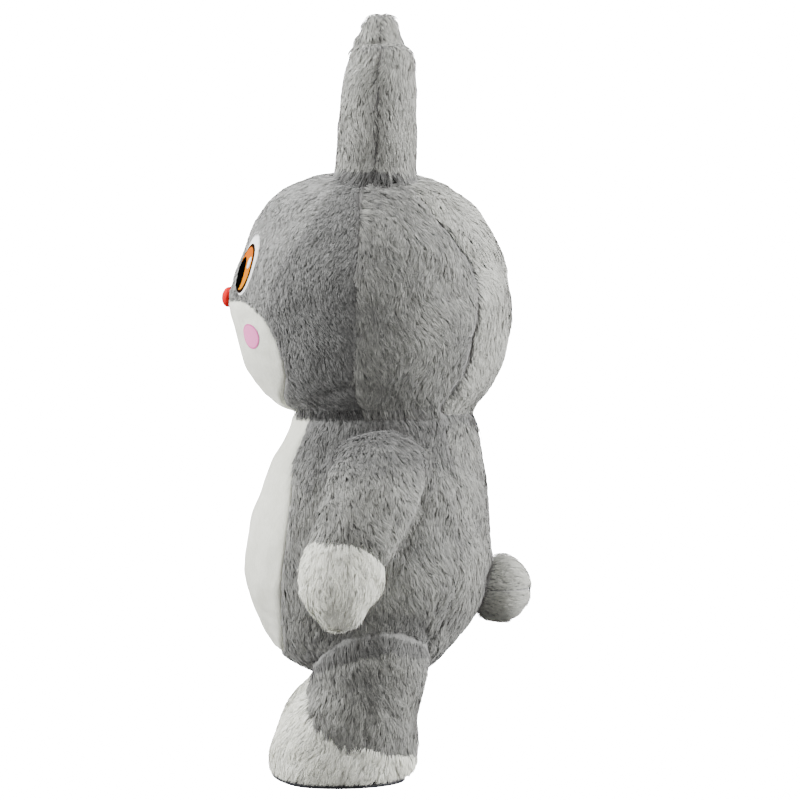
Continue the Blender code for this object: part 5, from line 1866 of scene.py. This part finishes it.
@dataclass
class Face:
    """The eyes and cheeks, in thin felt, and the stuffed nose."""

    rings: int = 9
    segments: int = 56
    nose_rim: float = 0.004

    def disc(self, name: str, oval: Oval, side: int, low: float, top: Reading) -> bpy.types.Object:
        """A thin oval piece that follows the head.

        Args:
            name: The piece's name.
            oval: Its outline.
            side: 1 on the left, -1 on the right.
            low: How far its underside lies off the head.
            top: How far its upper side does, at shares of the way out.

        Returns:
            The piece.
        """
        share = np.repeat(np.arange(1, self.rings + 1) / self.rings, self.segments)
        share = np.concatenate([[0.0], np.sin(share * math.pi / 2)])
        around = np.tile(np.arange(self.segments) * 2 * math.pi / self.segments, self.rings)
        around = np.concatenate([[0.0], around])
        spots = share[:, None] * np.stack([np.cos(around), np.sin(around)], axis=-1)
        across, up = oval.half_width * spots[:, 0], oval.half_height * spots[:, 1]
        upper = oval.spot(across, up, top(share), side)
        lower = oval.spot(across, up, np.full(share.shape, low), side)
        count = len(upper)
        k = np.arange(self.segments)
        after = (k + 1) % self.segments
        quads = [np.stack([0 * k, 1 + k, 1 + after, 1 + after], axis=-1)]
        for ring in range(self.rings - 1):
            start = 1 + ring * self.segments
            far = start + self.segments
            quads.append(np.stack([start + k, far + k, far + after, start + after], axis=-1))
        cap = np.concatenate(quads)
        edge = 1 + (self.rings - 1) * self.segments
        rim = np.stack([edge + k, edge + after, edge + after + count, edge + k + count], axis=-1)
        faces = np.concatenate([cap + count, cap[:, ::-1], rim])
        if side < 0:
            faces = faces[:, ::-1]
        mesh = bpy.data.meshes.new(name)
        points = np.concatenate([lower, upper]).tolist()
        mesh.from_pydata(points, [], [list(dict.fromkeys(face)) for face in faces.tolist()])
        corners = np.zeros(len(mesh.loops), np.int32)
        mesh.loops.foreach_get("vertex_index", corners)
        uv = (0.5 + MAP_RADIUS * np.concatenate([spots, spots]))[corners]
        mesh.uv_layers.new(name=BAKE_MAP).data.foreach_set("uv", uv.astype(np.float32).ravel())
        obj = linked(name, mesh)
        smooth_by_angle(obj, 50)
        return obj

    def felt(self, name: str, oval: Oval, side: Side, layer: int, finish: FeltFinish) -> None:
        """A felt oval in one of the eye's layers, or a cheek."""
        low = PATCH_CLEARANCE + layer * PATCH_LAYER_STEP
        node = f"{name}_{side.word}"
        piece = self.disc(
            f"felt_{node}", oval, side.value, low, lambda s: low + PATCH_THICKNESS * np.sqrt(1 - 0.9 * s**8)
        )
        dress(piece, finish)
        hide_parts(node)

    def build(self) -> None:
        """Make the eyes, the cheeks and the nose."""
        for side in Side:
            self.felt("eye_white", EYE_WHITE, side, 0, EYE_WHITE_FELT)
            self.felt("eye_iris", EYE_IRIS, side, 1, EYE_IRIS_FELT)
            self.felt("eye_pupil", EYE_PUPIL, side, 2, EYE_PUPIL_FELT)
            self.felt("eye_glint", EYE_GLINT, side, 2, EYE_WHITE_FELT)
            self.felt("cheek", CHEEK, side, 0, CHEEK_FELT)
        bulge = float(HEAD.point(HEAD.station(np.array(NOSE.height)), np.array(0.0))[1]) - NOSE_TIP
        swell = bulge - self.nose_rim
        nose = self.disc(
            "stuffed_nose",
            NOSE,
            1,
            PATCH_CLEARANCE,
            lambda s: self.nose_rim + swell * np.sqrt(1 - 0.98 * s**2),
        )
        dress(nose, NOSE_CLOTH)
        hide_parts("nose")


@dataclass
class Sole:
    """A rubber sole under a foot, with a raised band round its tread."""

    side: Side
    segments: int = 72
    bevel: float = 0.003
    tread_inset: float = 0.010
    tread_depth: float = 0.002
    tread_slope: float = 0.004
    tread_width: float = 0.022

    def build(self) -> None:
        """Make the sole from a disc that is pulled to the foot's outline and thickened."""
        clear_selection()
        bpy.ops.mesh.primitive_circle_add(vertices=self.segments, radius=1.0, fill_type="NGON")
        obj = bpy.context.active_object
        obj.name = obj.data.name = f"rubber_sole_{self.side.word}"
        for vertex in obj.data.vertices:
            angle = np.array(math.atan2(vertex.co.x, -vertex.co.y) * self.side.value)
            x, y, _ = LEGS[self.side].point(np.array(0.0), angle)
            vertex.co = (x, y, 0.0)
        with editing(obj):
            bpy.ops.mesh.extrude_region_move(TRANSFORM_OT_translate={"value": (0, 0, SOLE_THICKNESS)})
            bpy.ops.mesh.select_all(action="SELECT")
            bpy.ops.mesh.normals_make_consistent(inside=False)
        with editing(obj, lambda face: face.normal.z < -0.9):
            bpy.ops.mesh.inset(thickness=self.tread_inset)
            bpy.ops.mesh.inset(thickness=self.tread_slope, depth=-self.tread_depth)
            bpy.ops.mesh.inset(thickness=self.tread_width)
            bpy.ops.mesh.inset(thickness=self.tread_slope, depth=self.tread_depth)
        apply_modifier(obj, "BEVEL", width=self.bevel, segments=3, limit_method="ANGLE", angle_limit=1.2)
        for vertex in obj.data.vertices:
            vertex.co.z += float(toe_lift(vertex.co.y, 0.0))
        smooth_by_angle(obj, 40)
        dress(obj, SOLE_RUBBER)
        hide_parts(f"sole_{self.side.word}")


@dataclass
class BackZip:
    """The zip up the back: its tapes, teeth, stitches, slider and pull. Sizes run across, out and up.

    Attributes:
        pitch: How far apart the teeth of one row are.
        tooth_size: A tooth's size.
        tooth_offset: How far a tooth stands from the middle.
        tooth_inset: How far the teeth lie under the solid's surface.
        end_gap: How far teeth and stitches stop short of the neck.
        tape_inset: How far the tapes lie under the solid's surface.
        tape_gap: How far the tapes' edges stop short of the middle.
        tape_step: About how far apart the tapes' points are.
        stitch_size: A stitch's size.
        stitch_pitch: How far apart the stitches are.
        stitch_offset: How far they are from the middle.
        slider_height: How high up the slider stands.
        slider_lift: How far the slider's face stands off the solid's surface.
        slider_size: The slider's size.
        slider_taper: How much narrower it is at its lower end.
        bridge_size: The bridge's size, standing off the slider's face.
        bridge_thickness: How thick its metal is.
        pull_lift: How far the middle of the pull stands off the slider's face.
    """

    pitch: float = 0.0034
    tooth_size: tuple[float, float, float] = (0.0052, 0.0024, 0.0022)
    tooth_offset: float = 0.0013
    tooth_inset: float = 0.0048
    end_gap: float = 0.004
    tape_inset: float = 0.0052
    tape_gap: float = 0.0012
    tape_step: float = 0.008
    stitch_size: tuple[float, float, float] = (0.0007, 0.0006, 0.0026)
    stitch_pitch: float = 0.0042
    stitch_offset: float = 0.0155
    slider_height: float = 1.186
    slider_lift: float = 0.0003
    slider_size: tuple[float, float, float] = (0.015, 0.004, 0.022)
    slider_taper: float = 0.62
    bridge_size: tuple[float, float, float] = (0.0034, 0.0046, 0.014)
    bridge_thickness: float = 0.0012
    pull_lift: float = 0.0018

    def spine(self, height: Array, across: Array, depth: float) -> tuple[Array, Array, Array]:
        """Points beside the middle of the back, with the ways out and up there.

        Args:
            height: Their heights.
            across: How far they are from the middle.
            depth: How far they lie under the solid's surface.

        Returns:
            The points, the outward ways and the upward ways.
        """
        station = TORSO.station(height)
        angle = math.pi - across / TORSO.column(3, station)
        normal = TORSO.normal(station, angle)
        up = unit(TORSO.point(station + 0.01, angle) - TORSO.point(station - 0.01, angle))
        return TORSO.point(station, angle) - depth * normal, normal, up

    def tapes(self) -> None:
        """The two woven tapes."""
        low, top = level(float(TORSO.station(ZIP_END_HEIGHT))), level(TORSO.last)
        for side, form in zip(Side, TORSOS):
            cut = Cut(low, top, tape_edge(form, ZIP_TAPE_REACH), tape_edge(form, self.tape_gap), "")
            Panel(
                f"zip_tape_{side.word}",
                form,
                (cut,),
                TAPE_CLOTH,
                Slot.ZIP_TAPE,
                (f"body_back_{side.word}",),
                inset=self.tape_inset,
                step=self.tape_step,
            ).build()

    def tooth(self) -> tuple[Array, Array]:
        """One tooth's points and faces: X across, Y out and Z up."""
        obj = block(self.tooth_size)
        with editing(obj):
            bpy.ops.mesh.bevel(offset=0.0005, segments=1)
            bpy.ops.mesh.select_all(action="SELECT")
            bpy.ops.mesh.quads_convert_to_tris()
        points = np.array([vertex.co[:] for vertex in obj.data.vertices])
        faces = np.array([polygon.vertices[:] for polygon in obj.data.polygons])
        bpy.data.objects.remove(obj)
        return points, faces

    def row_of(
        self, name: str, shape: tuple[Array, Array], heights: Array, across: Array, depth: float
    ) -> bpy.types.Object:
        """Copies of one small shape up the back, as one mesh.

        Args:
            name: The piece's name.
            shape: The shape's points and faces.
            heights: The copies' heights.
            across: How far they are from the middle.
            depth: How far they lie under the solid's surface.

        Returns:
            The piece.
        """
        base, faces = shape
        place, out, up = self.spine(heights, across, depth)
        turn = np.stack([np.cross(out, up), out, up], axis=1)
        points = place[:, None, :] + base @ turn
        shifted = faces[None] + (np.arange(len(heights)) * len(base))[:, None, None]
        return mesh_object(name, points.reshape(-1, 3), shifted.reshape(-1, 3))

    def teeth(self) -> None:
        """Two rows of teeth that mesh along the middle of the back."""
        count = int((NECK_HEIGHT - self.end_gap - ZIP_END_HEIGHT) / (self.pitch / 2))
        heights = ZIP_END_HEIGHT + self.end_gap / 2 + np.arange(count) * self.pitch / 2
        across = np.where(np.arange(count) % 2 == 0, self.tooth_offset, -self.tooth_offset)
        teeth = self.row_of("zip_teeth", self.tooth(), heights, across, self.tooth_inset)
        dress(teeth, ZIP_NICKEL)
        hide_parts("zip_chain")

    def stitches(self) -> None:
        """Rows of stitches that hold the tapes."""
        base, faces = self.tooth()
        shape = (base / (2 * np.abs(base).max(axis=0)) * self.stitch_size, faces)
        heights = np.arange(ZIP_END_HEIGHT + self.end_gap, NECK_HEIGHT - self.end_gap, self.stitch_pitch)
        across = np.repeat([self.stitch_offset, -self.stitch_offset], len(heights))
        depth = self.tape_inset - 0.0002
        stitches = self.row_of("zip_stitches", shape, np.tile(heights, 2), across, depth)
        dress(stitches, TAPE_CLOTH)

    def slider_frame(self) -> Matrix:
        """The slider's place: on the chain, with Z up the chain and Y out of the back."""
        station, angle = TORSO.station(self.slider_height), np.array(math.pi)
        here = TORSO.point(station, angle)
        x_axis, z_axis = Vector((1, 0, 0)), Vector(unit(TORSO.point(station + 1e-3, angle) - here))
        turn = Matrix((x_axis, z_axis.cross(x_axis), z_axis)).transposed().to_4x4()
        return Matrix.Translation(Vector(here)) @ turn

    def metal(self, obj: bpy.types.Object, node: str, lift: float, body: Body) -> None:
        """Set a metal piece in its place on the chain, and finish it.

        Args:
            obj: The piece.
            node: The solid that it stands for.
            lift: How far it is moved out of the back.
            body: The body that it rides on.
        """
        obj.name = obj.data.name = f"metal_{node}"
        obj.data.transform(self.slider_frame() @ Matrix.Translation((0, lift, 0)))
        with editing(obj):
            bpy.ops.mesh.normals_make_consistent(inside=False)
        smooth_by_angle(obj, 40)
        dress(obj, ZIP_NICKEL, body)
        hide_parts(node)

    def slider(self) -> None:
        """The slider: a body that narrows downwards, and a bridge over it."""
        body = block(self.slider_size, (0.0, -self.slider_size[1] / 2, 0.0))
        for vertex in body.data.vertices:
            if vertex.co.z < 0:
                vertex.co.x *= self.slider_taper
        with editing(body):
            bpy.ops.mesh.bevel(offset=0.0009, segments=2)
        bridge = flat_grid(1, 10)
        width, rise, length = self.bridge_size
        for vertex in bridge.data.vertices:
            x, along, _ = vertex.co
            arch = math.sqrt(max(1 - (2 * along) ** 4, 0.0))
            vertex.co = (x * width, rise * arch - self.bridge_thickness / 2, along * length)
        apply_modifier(bridge, "SOLIDIFY", thickness=self.bridge_thickness, offset=0.0)
        apply_modifier(bridge, "BEVEL", width=0.0003, segments=2)
        make_active(body)
        bridge.select_set(True)
        bpy.ops.object.join()
        self.metal(body, "zip_slider", self.slider_lift, Body.COSTUME)

    def pull(self) -> None:
        """The pull tab, which hangs from the bridge by its window."""
        rows = [0.001, -0.001, -0.011, -0.014, -0.030, -0.0435, -0.045]
        columns = [-0.006, -0.003, 0.003, 0.006]
        waist = [0.80, 1.0, 1.0, 0.80, 0.66, 0.98, 0.80]
        tab = flat_grid(len(columns) - 1, len(rows) - 1)
        for vertex in tab.data.vertices:
            row = round((0.5 - vertex.co.y) * (len(rows) - 1))
            column = round((0.5 + vertex.co.x) * (len(columns) - 1))
            vertex.co = (columns[column] * waist[row], 0.0, rows[row])
        with editing(tab, lambda face: abs(face.center.x) < 0.001 and rows[2] < face.center.z < rows[1]):
            bpy.ops.mesh.delete(type="FACE")
        apply_modifier(tab, "SOLIDIFY", thickness=0.0017, offset=0.0)
        apply_modifier(tab, "BEVEL", width=0.0004, segments=2)
        self.metal(tab, "zip_pull", self.slider_lift + self.pull_lift, Body.PULL)

    def build(self) -> None:
        """Make the whole zip."""
        self.tapes()
        self.teeth()
        self.stitches()
        self.slider()
        self.pull()


def block(size: Sequence[float], middle: Sequence[float] = (0, 0, 0)) -> bpy.types.Object:
    """A new cuboid of a size, round its middle."""
    clear_selection()
    bpy.ops.mesh.primitive_cube_add(size=1.0)
    obj = bpy.context.active_object
    obj.scale = size
    obj.location = middle
    bpy.ops.object.transform_apply(location=True, rotation=False, scale=True)
    return obj


def flat_grid(columns: int, rows: int) -> bpy.types.Object:
    """A new flat grid of so many faces, one metre wide and deep."""
    clear_selection()
    bpy.ops.mesh.primitive_grid_add(x_subdivisions=columns, y_subdivisions=rows, size=1.0)
    return bpy.context.active_object


# Studio


@dataclass(frozen=True)
class Light:
    """A soft square light.

    Attributes:
        name: Its name.
        place: Where it stands.
        aim: The height that it points at, in the costume's middle.
        size: How wide it is.
        power: Its power, in watts.
    """

    name: str
    place: tuple[float, float, float]
    aim: float
    size: float
    power: float

    def build(self) -> None:
        """Set the light up."""
        lamp = bpy.data.lights.new(self.name, "AREA")
        lamp.size = self.size
        lamp.energy = self.power
        obj = linked(self.name, lamp)
        obj.location = self.place
        way = Vector((0, 0, self.aim)) - Vector(self.place)
        obj.rotation_euler = way.to_track_quat("-Z", "Y").to_euler()


LIGHTS = (
    Light("top_light", (0.0, -0.2, 5.2), 1.2, 3.2, 290),
    Light("front_light", (0.35, -4.6, 2.6), 1.3, 3.0, 560),
    Light("back_light", (0.7, 4.6, 2.2), 1.2, 3.0, 560),
    Light("fill_light", (5.5, 1.6, 3.0), 1.2, 2.5, 25),
)


@dataclass
class Studio:
    """The surround, the lights and the camera."""

    distance: float = 6.75
    camera_height: float = 1.287
    camera_along: float = 0.082
    lens: float = 86.8
    backdrop: float = 24.0
    ambient: float = 0.33
    ambient_below: float = 0.28

    def camera(self) -> None:
        """The camera, level and looking at the costume's left side."""
        made = bpy.data.cameras.new("camera")
        made.lens = self.lens
        made.sensor_width = 36.0
        made.clip_end = 200
        obj = linked("camera", made)
        obj.location = (self.distance, self.camera_along, self.camera_height)
        obj.rotation_euler = (math.radians(90), 0, math.radians(90))
        bpy.context.scene.camera = obj

    def world(self) -> None:
        """A white surround, which lights the costume less from below."""
        world = bpy.data.worlds.new("studio")
        bpy.context.scene.world = world
        world.use_nodes = True
        nodes = Nodes(world.node_tree)
        up = nodes.add("SeparateXYZ", {0: nodes.add("TexCoord").outputs["Generated"]}).outputs["Z"]
        inputs = {"Value": up, "From Min": -0.5, "From Max": 0.4}
        inputs |= {"To Min": self.ambient_below, "To Max": self.ambient}
        ambient = nodes.add("MapRange", inputs).outputs["Result"]
        seen = nodes.add("LightPath").outputs["Is Camera Ray"]
        strength = nodes.add("Mix", {0: seen, 2: ambient, 3: self.backdrop}).outputs[0]
        background = world.node_tree.nodes["Background"]
        nodes.put(background.inputs["Color"], WHITE)
        nodes.put(background.inputs["Strength"], strength)

    def build(self) -> None:
        """Set the studio up."""
        self.camera()
        self.world()
        for light in LIGHTS:
            light.build()


def main() -> None:
    """Build the studio and the costume."""
    logging.basicConfig(level=logging.INFO, format="%(message)s")
    Studio().build()
    for part in (Head(), Torso(), Limbs(), EarsAndTail()):
        for panel in part.panels():
            panel.build()
    Face().build()
    for side in Side:
        Sole(side).build()
    BackZip().build()
    clear_selection()


if __name__ == "__main__":
    main()
